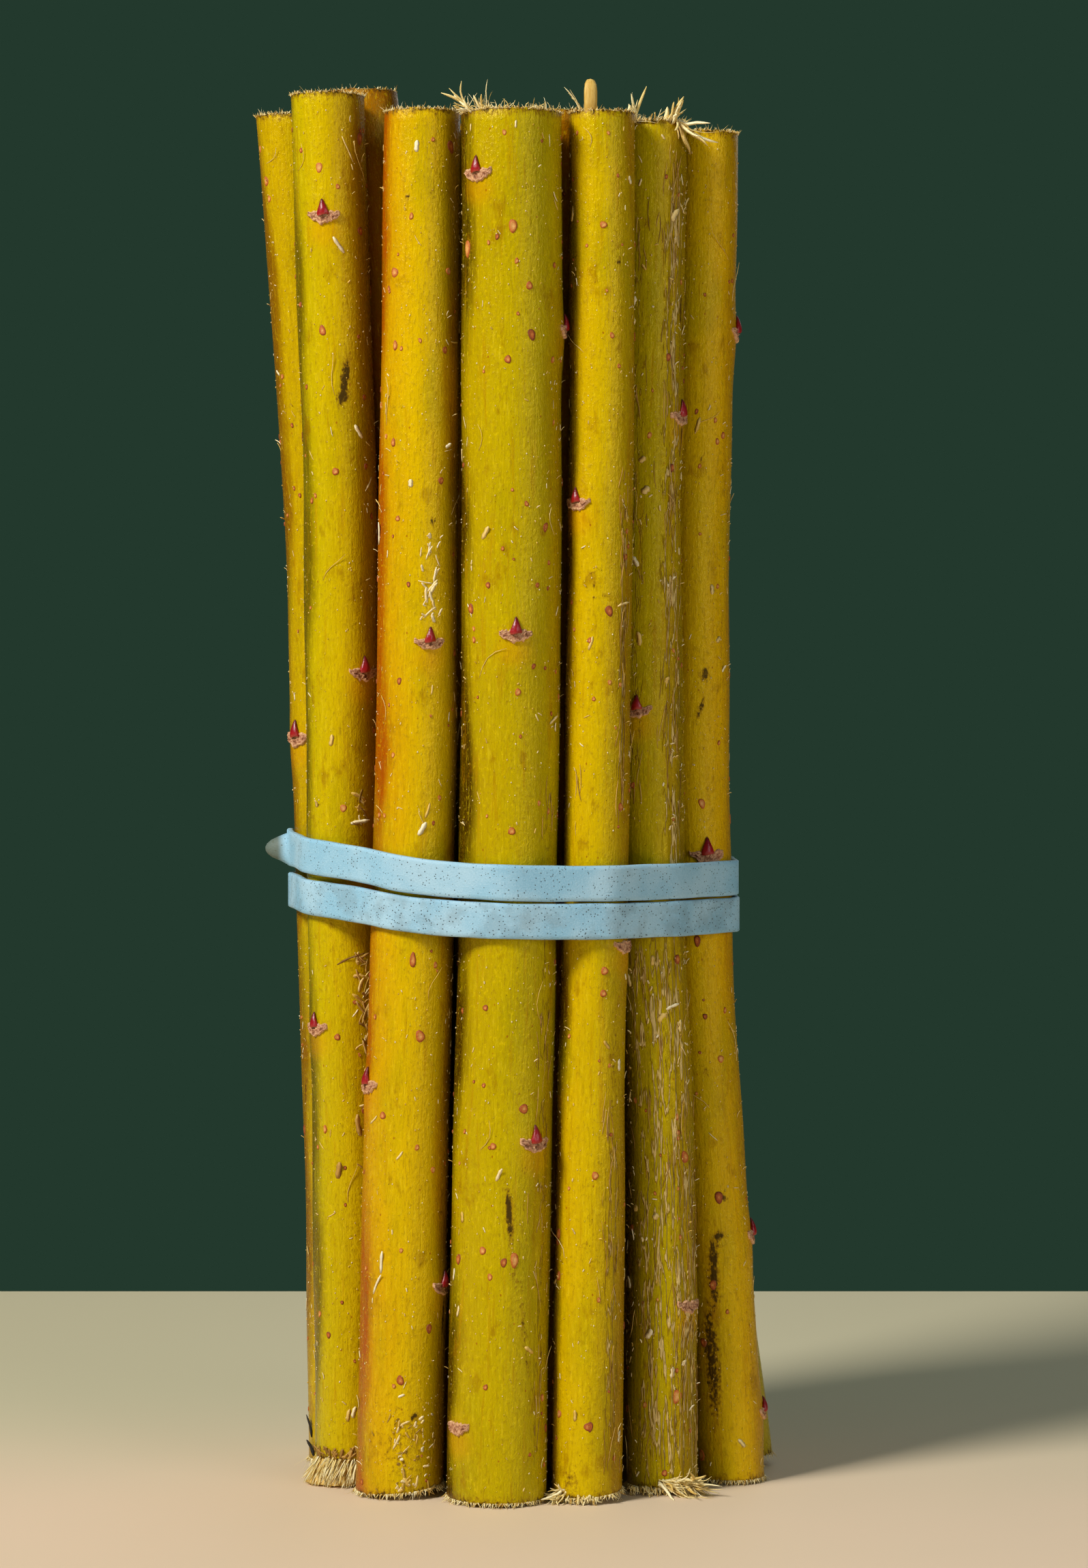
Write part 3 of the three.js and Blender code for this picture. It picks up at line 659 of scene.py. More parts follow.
def litter_bark(pile, twig, random, share):
    """Lenticels, shavings and dust over one twig; share thins them out on hidden twigs."""
    low, high = twig["foot"] + 2, twig["top"] - 2
    girth = sum(twig["wide"]) / len(STATIONS) / COMMON_WIDTH

    def place():
        while True:
            z = random.uniform(low, high)
            turn = random.uniform(*twig["sector"])
            near = any(
                abs(z - bud_z) < 4 and abs(turn_from(bud_turn, turn)) < 45
                for bud_z, bud_turn in twig["growths"]
            )
            if clear_of_band(z) and not near:
                return z, turn

    for number in range(int(LENTICELS * share * girth)):
        z, turn = place()
        size = random.uniform(0.2, 0.42) if number % 6 else random.uniform(0.45, 0.75)
        lenticel(
            pile, twig, z, turn, size * random.uniform(0.95, 1.4), size * random.uniform(0.75, 1.0),
            random.uniform(0.07, 0.15), random.uniform(-20, 20), random.uniform(0, 1),
        )
    for number in range(int(SHAVINGS * share * girth * twig.get("litter", 1))):
        z, turn = place()
        if number % 2:
            turn = twig["facing"] + random.choice([-1, 1, 1]) * random.normal(62, 14)
        large = number % 14 == 0
        length = random.uniform(0.9, 2.4) if large else 0.25 + min(random.exponential(0.35), 1.6)
        half = random.uniform(0.16, 0.4) if large else random.uniform(0.05, 0.13)
        half *= twig.get("flake", 1)
        lift = random.uniform(0.1, 0.7) if number % 3 == 0 else 0.02
        shaving(
            pile, twig, z, turn, length, half, random.normal(0, 35), lift, random.uniform(0.3, 1)
        )
    for _ in range(int(CURLS * share)):
        z, turn = place()
        shaving(
            pile, twig, z, turn, random.uniform(3, 7), 0.05, random.normal(0, 30),
            random.uniform(0.2, 0.9), random.uniform(0.3, 0.7), bend=random.uniform(0.1, 0.25),
        )
    for _ in range(int(GRAINS * share * girth)):
        z, turn = place()
        speck(pile, twig, z, turn, random.uniform(0.05, 0.12), random.uniform(0.2, 1))
    for low, high, middle_turn, spread, strength in twig["cracked"]:
        for _ in range(int(0.9 * (high - low) * strength)):
            z = random.uniform(max(low, twig["foot"] + 5), min(high, twig["top"] - 5))
            turn = random.normal(middle_turn, spread * 0.6)
            if clear_of_band(z):
                shaving(
                    pile, twig, z, turn, random.uniform(1.5, 6), random.uniform(0.03, 0.08),
                    random.normal(0, 5), random.uniform(0, 0.25), random.uniform(0, 0.7), PEEL,
                )


def torn_foot(pile, twig, random):
    """Where the bark stops short of the ground and a brush of pale wood goes on down."""
    top, foot = twig["foot"] + twig["bark_rise"] + 0.4, 0.3
    columns, rows = 70, 12
    turns = np.arange(columns) * 360.0 / columns
    down = np.linspace(1, 0, rows)[:, None]
    a = np.radians(turns)[None, :]
    ridge = random.uniform(-1, 1, columns)[None, :]
    radius = 5.0 + 0.6 * down + 0.22 * ridge * (0.5 + down)
    z = foot + (top - foot) * (1 - down) + 0 * radius
    x = along(twig["x"], 0) - 1.5 * down + radius * np.sin(a)
    y = along(twig["y"], 0) - 0.9 * down - radius * np.cos(a)
    points = np.stack([x, y, z], -1).reshape(-1, 3)
    pile.add(points, grid_faces(rows, columns), FIBRE, local(twig, points), tone=0.35)
    pile.add_faces(fan(columns)[:, [0, 2, 1]], FIBRE, len(points))
    for number in range(520):
        out = ways(random.uniform(-125, 80))[0]
        start_z = random.uniform(1.2, top + 0.5)
        radius = 4.9 + 0.6 * (1 - start_z / top)
        start = np.array([along(twig["x"], 0), along(twig["y"], 0), 0]) + out * radius
        start[0] -= 1.3 * (1 - start_z / top)
        start[2] = start_z
        spread = random.uniform(0.0, 0.6 if number % 4 == 0 else 0.25)
        aim = np.array([-0.35, -0.75, -1]) + out * spread + random.normal(0, 0.14, 3)
        aim /= np.linalg.norm(aim)
        length = random.uniform(1.2, min(5.0, start_z + 0.9))
        half = random.uniform(0.08, 0.3)
        fibre(pile, start, aim * length, half, out * 0.15, random.uniform(0.4, 1))
    for _ in range(46):
        turn = random.uniform(-100, 60)
        shaving(
            pile, twig, top + 0.4 + random.uniform(-0.5, 0.7), turn, random.uniform(0.8, 2.2),
            random.uniform(0.12, 0.34), random.normal(0, 30), 0.3, random.uniform(0, 0.4), PEEL,
        )


# The larger lenticels of each twig: height, turn, half height, half width and shade
LARGE_LENTICELS = {
    "twig_02_torn_foot": [
        (156, -3, 0.55, 0.5, 0.3), (55.2, -38, 0.65, 0.35, 0.2), (69.5, -12, 0.5, 0.45, 0.6),
    ],
    "twig_04_golden": [
        (174.6, -38, 0.75, 0.4, 0.3), (160, -40, 0.65, 0.4, 0.5), (82, 3, 1.15, 0.45, 0.5),
        (58.4, -33, 0.55, 0.5, 0.4),
    ],
    "twig_05_thick_front": [
        (188.8, -62, 1.3, 0.7, 0.1), (191.8, 2, 1.0, 0.6, 0.1), (183, 21, 0.6, 0.5, 0.4),
        (172, -4, 0.6, 0.5, 0.6), (75, -24, 0.45, 0.45, 0.7), (54.3, -10, 0.5, 0.45, 0.2),
        (37.2, 17, 1.15, 0.6, 0.1), (38.6, -20, 0.6, 0.5, 0.2),
    ],
    "twig_07_streaked": [
        (192.5, 2, 0.5, 0.55, 0.2), (80.4, 18, 0.6, 0.55, 0.3), (77, 17, 0.55, 0.5, 0.4),
        (49.6, 8, 0.6, 0.5, 0.2),
    ],
    "twig_09_right_edge": [
        (84, -4, 0.9, 0.5, 0.95), (44.4, 8, 0.95, 0.65, 0.9),
    ],
}


# Each twig's tufts of torn fibre: where the tuft is rooted and how far that spreads, the way it
# points and how much it strays, how many fibres, and the least and most of their length and of
# their half width, in millimetres
TUFTS = {
    "twig_05_thick_front": [
        ((-6.2, -32.2, 208.9), (0.5, 0.6, 0.2), (-0.62, -0.1, 0.75), 0.1, 4, (3.6, 4.8), (0.2, 0.42)),
        ((-4.6, -33.2, 209.0), (1.9, 0.9, 0.2), (-0.85, -0.2, 0.45), 0.22, 16, (2.2, 4.4), (0.1, 0.34)),
        ((-5.4, -32.6, 209.0), (1.6, 0.9, 0.2), (-0.2, -0.2, 0.9), 0.4, 24, (1.0, 3.4), (0.04, 0.1)),
        ((0.5, -35.6, 209.2), (5.5, 0.8, 0.1), (0.1, -0.1, 1), 0.7, 70, (0.5, 1.7), (0.04, 0.12)),
    ],
    "twig_07_streaked": [
        ((10.2, -29.9, 209.6), (0.4, 0.4, 0.2), (-0.5, -0.1, 0.9), 0.12, 4, (3.0, 4.2), (0.08, 0.22)),
        ((7.8, -31.8, 1.6), (1.2, 1.0, 0.6), (-0.6, -0.5, -0.4), 0.3, 60, (1.2, 3.2), (0.08, 0.24)),
        ((10.8, -33.8, 1.3), (1.2, 0.3, 0.3), (0.1, -0.4, -0.8), 0.3, 36, (0.8, 1.6), (0.08, 0.2)),
    ],
    "twig_08_fissured": [
        ((18.2, -23.4, 208.8), (0.5, 0.6, 0.2), (-0.15, -0.2, 1), 0.2, 9, (2.6, 4.4), (0.12, 0.42)),
        ((19.6, -24.2, 208.8), (2.2, 0.8, 0.2), (0.1, -0.2, 1), 0.55, 44, (0.6, 2.2), (0.04, 0.16)),
        ((23.6, -23.8, 208.6), (0.7, 0.6, 0.3), (0.45, -0.2, 0.85), 0.22, 10, (2.4, 4.0), (0.14, 0.5)),
        ((24.8, -23.2, 209.2), (0.6, 0.5, 0.6), (0.62, -0.3, -0.75), 0.16, 11, (3.0, 5.4), (0.12, 0.4)),
        ((24.6, -25.6, 1.9), (2.6, 0.8, 0.6), (0.8, -0.5, -0.3), 0.25, 110, (2.0, 5.4), (0.09, 0.3)),
        ((20.6, -25.9, 1.2), (3.0, 0.4, 0.3), (0.1, -0.4, -0.8), 0.3, 70, (0.7, 1.7), (0.07, 0.18)),
    ],
}


# Single shavings: height, turn, length, half width, lean, lift and tone, and what it is made of
# where that isn't wood
SINGLE_SHAVINGS = {
    "twig_01_left_edge": [
        (7, -62, 3.6, 0.5, 4, 0.8, 0.0, SKIN), (3.6, -58, 2.6, 0.6, -8, 0.9, 0.0, SKIN),
    ],
    "twig_02_torn_foot": [
        (190.4, 12, 2.8, 0.3, -28, 0.5, 0.95), (205, 32, 4.2, 0.12, -22, 0.4, 0.6),
        (56, 18, 3.4, 0.45, -8, 0.6, 0.4, PEEL), (49, -14, 2.6, 0.5, 6, 0.5, 0.4, PEEL),
        (81.5, 10, 4.4, 0.16, 62, 0.8, 0.0, PEEL),
    ],
    "twig_04_golden": [
        (146.4, -71, 3.4, 0.45, 6, 0.3, 1.0), (36.2, -28, 3.4, 0.26, 10, 0.3, 0.95),
        (32.8, -34, 3.4, 0.2, 24, 0.3, 0.9), (101.8, 12, 2.2, 0.4, 34, 0.4, 0.95),
    ],
}


def loose_ends(pile, twig, random):
    """The larger lenticels, tufts, splinters and shavings that single twigs carry."""
    name = twig["name"]
    for z, turn, half_high, half_wide, shade in LARGE_LENTICELS.get(name, []):
        lenticel(pile, twig, z, turn, half_high, half_wide, 0.16, 0, shade)
    for details in TUFTS.get(name, []):
        tuft(pile, *details, random)
    if name == "twig_02_torn_foot":
        torn_foot(pile, twig, random)
    for details in SINGLE_SHAVINGS.get(name, []):
        shaving(pile, twig, *details)
    if name == "twig_02_torn_foot":
        for low, high, count in ((64, 82, 34), (101, 107, 10), (30, 64, 12)):
            for _ in range(count):
                shaving(
                    pile, twig, random.uniform(low, high), random.normal(31, 6),
                    random.uniform(0.8, 3.6), random.uniform(0.08, 0.34), random.normal(0, 50),
                    random.uniform(0.2, 1.2), random.uniform(0, 0.9), random.choice([SHAVING, PEEL]),
                )
    if name == "twig_07_streaked":
        height = np.array([208.6, 209.8, 211.2, 212.6, 213.6, 214.2, 214.4])
        back = np.array([-30.3, -30.8, -31.1, -31.1, -30.9, -30.5, -30.2])
        peel = np.stack([11.6 + 0 * height, back, height], -1)
        wide = np.array([0.85, 0.95, 1.0, 1.0, 0.9, 0.65, 0.15])
        strand(pile, peel, wide, 0.28 * wide + 0.1, [1, 0.15, 0], FIBRE, 0.3, 10)
    if name == "twig_04_golden":
        for _ in range(30):
            shaving(
                pile, twig, random.uniform(133, 146), random.normal(19, 8), random.uniform(0.5, 2.4),
                random.uniform(0.08, 0.3), random.normal(-5, 35), 0.5, random.uniform(0.7, 1),
            )
        for _ in range(70):
            shaving(
                pile, twig, random.uniform(1.5, 13), random.normal(18, 20),
                0.25 + min(random.exponential(0.45), 2.2), random.uniform(0.05, 0.3),
                random.normal(0, 50), 0.2, random.uniform(0, 1),
            )


def dress_twig(twig, finishes):
    random = np.random.default_rng(700 + twig["number"])
    for kind in ("buds", "scars", "stains_and_shade", "cracked"):
        twig.setdefault(kind, [])
    twig["growths"] = twig["buds"] + twig["scars"]
    twig["lumps"] = [
        (lobes, random.uniform(28, 90), random.uniform(0.02, 0.07), random.uniform(0, 6.28))
        for lobes in (1, 1, 2, 3)
    ]
    twig["stains_and_shade"] = twig["stains_and_shade"] + [
        [
            random.uniform(twig["foot"] + 4, twig["top"] - 4), random.uniform(*twig["sector"]),
            random.uniform(0.3, 1.1), random.uniform(0.2, 0.5), random.uniform(-30, 30),
            random.uniform(0.5, 0.95),
        ]
        for _ in range(9)
    ]
    pile = Pile()
    lay_bark(pile, twig, random)
    for z, turn in twig["buds"]:
        size = random.uniform(0.9, 1.08)
        leaf_scar(pile, twig, z, turn, size, random)
        bud(pile, twig, z - 0.1, turn, size, random)
    for z, turn in twig["scars"]:
        leaf_scar(pile, twig, z, turn, 0.95, random)
    if twig["share"] > 0:
        litter_bark(pile, twig, random, twig["share"])
    top_fuzz, foot_fuzz = twig["fuzz"]
    fringe(pile, twig, True, top_fuzz, 0.75, random)
    if twig["name"] != "twig_02_torn_foot":
        fringe(pile, twig, False, foot_fuzz, 1.25, random)
    loose_ends(pile, twig, random)
    piece = pile.piece(twig["name"].replace("twig", "dressed_twig"), finishes[twig["look"]])
    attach(piece, "root")
    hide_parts(twig["name"])


# The rubber band

def band_route(twigs):
    """The band's middle line over its two turns, with the degrees turned there and whether it
    is on its upper turn, 1, or its lower one, 0."""
    turned = np.linspace(0, 720, 2161)[:-1]
    angle = CROSSING_ANGLE + turned
    a = np.radians(angle)
    way = np.stack([np.cos(a), np.sin(a), 0 * a], -1)

    def passed(place):
        return smooth(place - CROSSING_REACH, place + CROSSING_REACH, turned)

    upper = passed(0) - passed(360) + passed(720)
    from_left = np.abs((angle - LEFT + 180) % 360 - 180)
    leftness = 1 - smooth(LEFT_HELD, LEFT_HELD + LEFT_FALL, from_left)
    upper_z = UPPER_LEVEL + UPPER_LEFT_RISE * leftness
    lower_z = LOWER_LEVEL + LOWER_LEFT_RISE * leftness
    z = lower_z + (upper_z - lower_z) * upper

    reach = np.full(len(turned), -1e9)
    middle = np.zeros((len(turned), 3))
    for twig in twigs:
        centre = np.stack([along(twig["x"], z), along(twig["y"], z), z], -1)
        edge = centre + way * (along(twig["wide"], z) / 2)[:, None]
        far = (edge * way).sum(1)
        better = far > reach
        reach = np.where(better, far, reach)
        middle[better] = edge[better]
    over = 1 - smooth(CROSSING_REACH, 2 * CROSSING_REACH, np.abs(turned - 360))
    stand_off = BAND_GAP + BAND_THICKNESS / 2 + over * (BAND_THICKNESS + BAND_GAP)
    middle = middle + way * stand_off[:, None]
    return middle, turned, upper


def blurred(values, reach):
    """Values round the closed band, each blurred with its neighbours on both sides."""
    steps = np.arange(-3 * int(reach + 1), 3 * int(reach + 1) + 1)
    weights = np.exp(-((steps / reach) ** 2))
    edge = len(steps) // 2
    padded = np.concatenate([values[-edge:], values, values[:edge]])
    return np.convolve(padded, weights / weights.sum(), "valid")


def wind_band(twigs, finish):
    """The flat band, wound twice, with a slack ear that stands out at its left end."""
    middle, turned, upper = band_route(twigs)
    closed = np.concatenate([middle, middle[:1]])
    place = np.concatenate([[0], np.cumsum(np.linalg.norm(np.diff(closed, axis=0), axis=1))])
    count = int(place[-1] / BAND_STEP)
    steps = np.arange(count) * place[-1] / count
    x, y, z, turned, upper = (
        np.interp(steps, place[:-1], values) for values in (*middle.T, turned, upper)
    )
    middle = [blurred(x, PLAN_BLUR), blurred(y, PLAN_BLUR), blurred(z, HEIGHT_BLUR)]
    middle = np.stack(middle, -1)
    ahead = np.roll(middle, -1, 0) - np.roll(middle, 1, 0)
    ahead /= np.linalg.norm(ahead, axis=1, keepdims=True)
    out = np.cross(ahead, [0, 0, 1.0])
    out /= np.linalg.norm(out, axis=1, keepdims=True)
    across = np.cross(out, ahead)

    flat = np.linspace(-0.93, 0.93, 11)
    outline = [(v, 1.0) for v in flat] + [(1.0, 0.55), (1.0, -0.55)]
    outline += [(v, -1.0) for v in flat[::-1]] + [(-1.0, -0.55), (-1.0, 0.55)]
    outline = np.array(outline)
    n = len(outline)
    width = BAND_WIDTH + 0.05 * np.sin(steps / 3.1) + 0.04 * np.sin(steps / 1.27)
    up = (width / 2)[:, None] * outline[:, 0][None, :]
    through = (BAND_THICKNESS / 2) * outline[:, 1][None, :] + 0 * up

    # The ear bulges out at the bundle's left edge, to a blunt round end
    from_ear = steps - np.interp(EAR_ANGLE - CROSSING_ANGLE, turned, steps)
    flare = smooth(EAR_REACH, 0, from_ear) * smooth(-EAR_REACH, -0.4 * EAR_REACH, from_ear)
    tall = np.clip(1 - ((up - EAR_LIFT + 1.0) / EAR_HALF_HEIGHT) ** 2, 0, 1) ** 0.7
    ear = flare[:, None] ** 1.6 * tall
    through = through + EAR_STAND_OFF * ear
    up = up + 0.2 * flare[:, None] * (1 + outline[:, 0][None, :])
    points = (
        middle[:, None, :]
        + across[:, None, :] * up[:, :, None]
        + out[:, None, :] * through[:, :, None]
    ).reshape(-1, 3)
    beside, face = np.tile(outline, (count, 1)).T
    straight = np.stack([np.repeat(steps, n), beside * BAND_WIDTH / 2, face], -1)
    edge = np.tile((np.abs(outline[:, 0]) > 0.97).astype(float), count)
    dusty = np.repeat(0.75 + 0.25 * (1 - upper), n)
    # The ear's mark also lays painted shade into its hollow
    marks = np.stack([dusty, edge, ear.ravel()], -1)
    faces = grid_faces(count, n)
    last = np.arange(n)
    start = (count - 1) * n
    seam = np.stack([start + last, start + (last + 1) % n, (last + 1) % n, last], -1)
    pile = Pile()
    faces = np.concatenate([faces, seam])[:, ::-1]
    pile.add(points, faces, 0, straight, marks, edge)
    piece = pile.piece("wound_rubber_band", [finish])
    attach(piece, "root")
    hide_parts("rubber_band")


# Finishes

def colour(hex_code):
    """An sRGB hex colour as linear red, green, blue and alpha."""
    parts = [int(hex_code[i : i + 2], 16) / 255 for i in (1, 3, 5)]
    return tuple(v / 12.92 if v <= 0.04045 else ((v + 0.055) / 1.055) ** 2.4 for v in parts) + (1,)


def wire(tree, kind, inputs=None, output=0, stops=None, **settings):
    """Adds a node with its settings, its ramp's stops and its inputs, and gives one output."""
    made = tree.nodes.new("ShaderNode" + kind)
    for name, value in settings.items():
        setattr(made, name, value)
    if stops:
        while len(made.color_ramp.elements) < len(stops):
            made.color_ramp.elements.new(0.5)
        for element, (place, hex_code) in zip(made.color_ramp.elements, stops):
            element.position = place
            element.color = colour(hex_code)
    for name, value in (inputs or {}).items():
        socket = made.inputs[name]
        if isinstance(value, bpy.types.NodeSocket):
            tree.links.new(value, socket)
        else:
            socket.default_value = value
    return made.outputs[output]


def new_finish(name, roughness, reads, **constants):
    """A material with one shader, whose constant values sit on its own sockets, and what it
    reads of each point: its place along the piece, its marks or its own tone."""
    material = bpy.data.materials.new(name)
    material.use_nodes = True
    tree = material.node_tree
    shader = tree.nodes["Principled BSDF"]
    shader.inputs["Roughness"].default_value = roughness
    for socket, value in constants.items():
        shader.inputs[socket.replace("_", " ")].default_value = value
    stored = [
        wire(tree, "Attribute", output="Fac" if label == "tone" else "Vector", attribute_name=label)
        for label in reads
    ]
    return material, tree, shader, *stored


def join(tree, shader, ground, height, depth_mm):
    """Gives the shader its colour, and small relief that only the light shows."""
    bump = wire(tree, "Bump", {"Height": height, "Distance": depth_mm * MM, "Strength": 1.0})
    tree.links.new(ground, shader.inputs["Base Color"])
    tree.links.new(bump, shader.inputs["Normal"])


def coats(tree, ground, layers):
    """Lays colours over a ground. Each layer is a value, where on it the colour starts and is
    full, how strong it is there, and the colour."""
    for value, start, full, strength, hex_code in layers:
        share = wire(
            tree, "MapRange", {0: value, 1: start, 2: full, 3: 0.0, 4: strength},
            interpolation_type="SMOOTHSTEP",
        )
        ground = wire(
            tree, "Mix", {0: share, 6: ground, 7: colour(hex_code)}, output=2, data_type="RGBA"
        )
    return ground


def grain(tree, place, period_mm, stretch=1.0, detail=3.0, rough=0.55):
    """Noise with spots about period_mm across, drawn out along the piece by stretch."""
    squeezed = wire(tree, "VectorMath", {0: place, 1: (1, 1, 1 / stretch)}, operation="MULTIPLY")
    return wire(
        tree, "TexNoise",
        {"Vector": squeezed, "Scale": 1 / period_mm, "Detail": detail, "Roughness": rough},
    )


def spots(tree, place, spacing_mm, radius_mm, stretch, share):
    """Scattered round spots, 1 inside; share is how many of the spacing's cells hold one."""
    squeezed = wire(tree, "VectorMath", {0: place, 1: (1, 1, 1 / stretch)}, operation="MULTIPLY")
    cell = {"Vector": squeezed, "Scale": 1 / spacing_mm}
    far = wire(tree, "TexVoronoi", cell, output="Distance")
    pick = wire(tree, "TexVoronoi", cell, output="Color")
    pick = wire(tree, "SeparateColor", {0: pick})
    reach = radius_mm / spacing_mm
    inside = wire(tree, "MapRange", {0: far, 1: reach, 2: 0.6 * reach, 3: 0.0, 4: 1.0})
    chosen = wire(tree, "Math", {0: pick, 1: share}, operation="LESS_THAN")
    return wire(tree, "Math", {0: inside, 1: chosen}, operation="MULTIPLY")


def weigh(tree, *parts):
    """The sum of some values, each times its weight."""
    total = 0.0
    for value, weight in parts:
        total = wire(tree, "Math", {0: value, 1: weight, 2: total}, operation="MULTIPLY_ADD")
    return total


# Thin young bark of a basket willow: a smooth waxy skin over green tissue. To the eye it is a
# clear yellow to olive ground, softly clouded and mottled, with hair-fine lengthwise lines, rusty
# freckles, yellow flecks and a broken waxy shine. Each look gives the ground from the twig's left
# side to its right. Its first shade darkens the left edge: partly the bark's own brown, partly
# painted shade where the twig to the left shades it. The yellow flecks are partly painted glints.
BARK_LOOKS = {
    "amber": ["#845800", "#bc9c00", "#ccac00", "#b48c00", "#946600"],
    "olive": ["#6c5c00", "#bca800", "#ccb000", "#b89400", "#946800"],
    "russet": ["#6c3c00", "#a06000", "#a86c00", "#985c00", "#6c4400"],
    "golden": ["#a44c00", "#c89800", "#d8b400", "#ccaa00", "#b08000"],
    "green": ["#3c2800", "#b09800", "#bca600", "#b8a400", "#a88c00"],
    "streaked": ["#4c2c00", "#c8a600", "#ccae00", "#bc9c00", "#a47800"],
    "fissured": ["#5c5000", "#a09000", "#b8a400", "#b09000", "#8c7000"],
    "dull_amber": ["#5c4400", "#a88400", "#d4b000", "#dcac00", "#c49000"],
}
LINE_MM = 0.3
STREAK_MM = 0.9
CLOUD_MM = 8.0
SMEAR_MM = 3.2
MOTTLE_MM = 0.5
CRACK_MM = 1.1


def bark_finish(name, shades):
    material, tree, shader, place, marks, side = new_finish(
        f"willow_bark_{name}", 0.36, ("straight", "marks", "tone"),
        IOR=1.5, Specular_Tint=colour("#ffe070"),
    )
    stain_and_shade, halo, split = (wire(tree, "SeparateXYZ", {0: marks}, output=axis) for axis in "XYZ")
    lines = grain(tree, place, LINE_MM, 9)
    streaks = grain(tree, place, STREAK_MM, 14)
    clouds = grain(tree, place, CLOUD_MM, 3)
    smears = grain(tree, place, SMEAR_MM, 1.8, 4, 0.6)
    mottle = grain(tree, place, MOTTLE_MM, 1.4, 3, 0.65)
    freckles = spots(tree, place, 1.9, 0.17, 1.4, 0.35)
    pits = spots(tree, place, 1.3, 0.1, 1.2, 0.3)
    # Flecks: yellow specks of the bark, partly painted glints
    flecks = spots(tree, place, 0.8, 0.1, 2.4, 0.3)

    # The ramp's first stop darkens each twig's left edge with painted shade, over the bark's own brown
    across = weigh(tree, (side, 1.0), (clouds, 0.16), (streaks, 0.1), (0.13, -1.0))
    ground = wire(
        tree, "ValToRGB", {0: across}, stops=list(zip((0.03, 0.14, 0.5, 0.84, 0.97), shades))
    )
    # Where the skin has split, it parts in wavering pale threads with a dark crack beside each
    course = grain(tree, place, CRACK_MM, 9, 3, 0.5)
    beside = wire(tree, "Math", {0: course, 1: 0.12}, operation="PINGPONG")
    thread = weigh(tree, (split, 0.06), (smears, 0.06), (beside, -1.0), (0.038, -1.0))
    thread = wire(tree, "Math", {0: thread, 1: 0.0}, operation="MAXIMUM")
    rot_and_shade = weigh(tree, (stain_and_shade, 1.0), (mottle, 1.5), (0.75, -1.0))
    ground = coats(tree, ground, [
        (clouds, 0.5, 0.72, 0.4, "#968e00"),
        (mottle, 0.52, 0.7, 0.4, "#8c6c00"),
        (mottle, 0.44, 0.3, 0.35, "#e8cc10"),
        (lines, 0.54, 0.76, 0.35, "#8c6800"),
        (lines, 0.45, 0.27, 0.25, "#f0d828"),
        (streaks, 0.56, 0.72, 0.35, "#a87400"),
        (smears, 0.58, 0.72, 0.5, "#8c5c00"),
        (halo, 0.2, 1.0, 0.35, "#d89400"),
        (freckles, 0.0, 1.0, 0.7, "#984c08"),
        (pits, 0.0, 1.0, 0.7, "#4c2c08"),
        # yellow flecks, partly painted glints
        (flecks, 0.0, 1.0, 0.7, "#f4dc48"),
        (thread, 0.0, 0.016, 0.6, "#7c5410"),
        (thread, 0.022, 0.034, 0.9, "#e4c884"),
        # Brown and near-black where stains and rot are; on twig 9's left side these are partly painted
        # shadow
        (rot_and_shade, 0.3, 0.75, 0.6, "#7c4c08"),
        (rot_and_shade, 0.6, 0.9, 0.92, "#2a180a"),
    ])
    dull = weigh(tree, (mottle, 0.55), (thread, 4.0), (rot_and_shade, 0.2), (-0.03, 1.0))
    tree.links.new(dull, shader.inputs["Roughness"])
    height = weigh(tree, (lines, 0.5), (mottle, 0.9), (flecks, 0.8), (thread, 22.0))
    join(tree, shader, ground, height, 0.16)
    return material


def sawn_finish():
    """Green willow wood cut across with a fine saw: cream, with a brown pith, two year rings
    and a thin green and brown line where the bark begins."""
    material, tree, shader, place, share = new_finish(
        "sawn_green_willow", 0.75, ("straight", "tone"), IOR=1.45
    )
    fine = grain(tree, place, 0.3, 1, 3, 0.7)
    out = weigh(tree, (share, 1.0), (grain(tree, place, 2.4), 0.06), (0.03, -1.0))
    rings = wire(tree, "ValToRGB", {0: out}, stops=[
        (0.0, "#8a5a2a"), (0.08, "#c79a5c"), (0.13, "#ecd9a4"), (0.44, "#e6cf94"),
        (0.48, "#dcc384"), (0.52, "#ecdaa4"), (0.74, "#e7d298"), (0.77, "#dcc486"),
        (0.8, "#eddba6"), (0.9, "#dccb7c"), (0.935, "#9a9a38"), (0.965, "#7c5c20"), (1.0, "#5a3c12"),
    ])
    ground = coats(tree, rings, [(fine, 0.5, 0.75, 0.45, "#b48c50")])
    join(tree, shader, ground, fine, 0.12)
    return material


def bud_finish():
    """The single scale of a willow's winter bud: hard and crimson, with a soft shine and a
    bloom, darker at its tip."""
    material, tree, shader, place, height = new_finish(
        "bud_scale", 0.34, ("straight", "tone"), IOR=1.48
    )
    patchy = grain(tree, place, 0.5, 1.5)
    up = weigh(tree, (height, 1.0), (patchy, 0.4), (0.2, -1.0))
    ground = wire(tree, "ValToRGB", {0: up}, stops=[
        (0.0, "#a0301c"), (0.15, "#9c1018"), (0.55, "#86081a"), (0.85, "#640a18"), (1.0, "#4a1c1c"),
    ])
    ground = coats(tree, ground, [(patchy, 0.55, 0.75, 0.35, "#c0606c")])
    join(tree, shader, ground, patchy, 0.08)
    return material


def crumbly_finish(name, roughness, period_mm, stretch, depth_mm, stops):
    """Dry, torn or corky plant matter: matt, crumbly, and uneven in colour from the first of
    its shades to the last."""
    material, tree, shader, place, tone = new_finish(
        name, roughness, ("straight", "tone"), IOR=1.45
    )
    crumbs = grain(tree, place, period_mm, stretch, 3, 0.65)
    own = weigh(tree, (tone, 1.0), (crumbs, 0.6), (0.3, -1.0))
    ground = wire(tree, "ValToRGB", {0: own}, stops=stops)
    join(tree, shader, ground, crumbs, depth_mm)
    return material


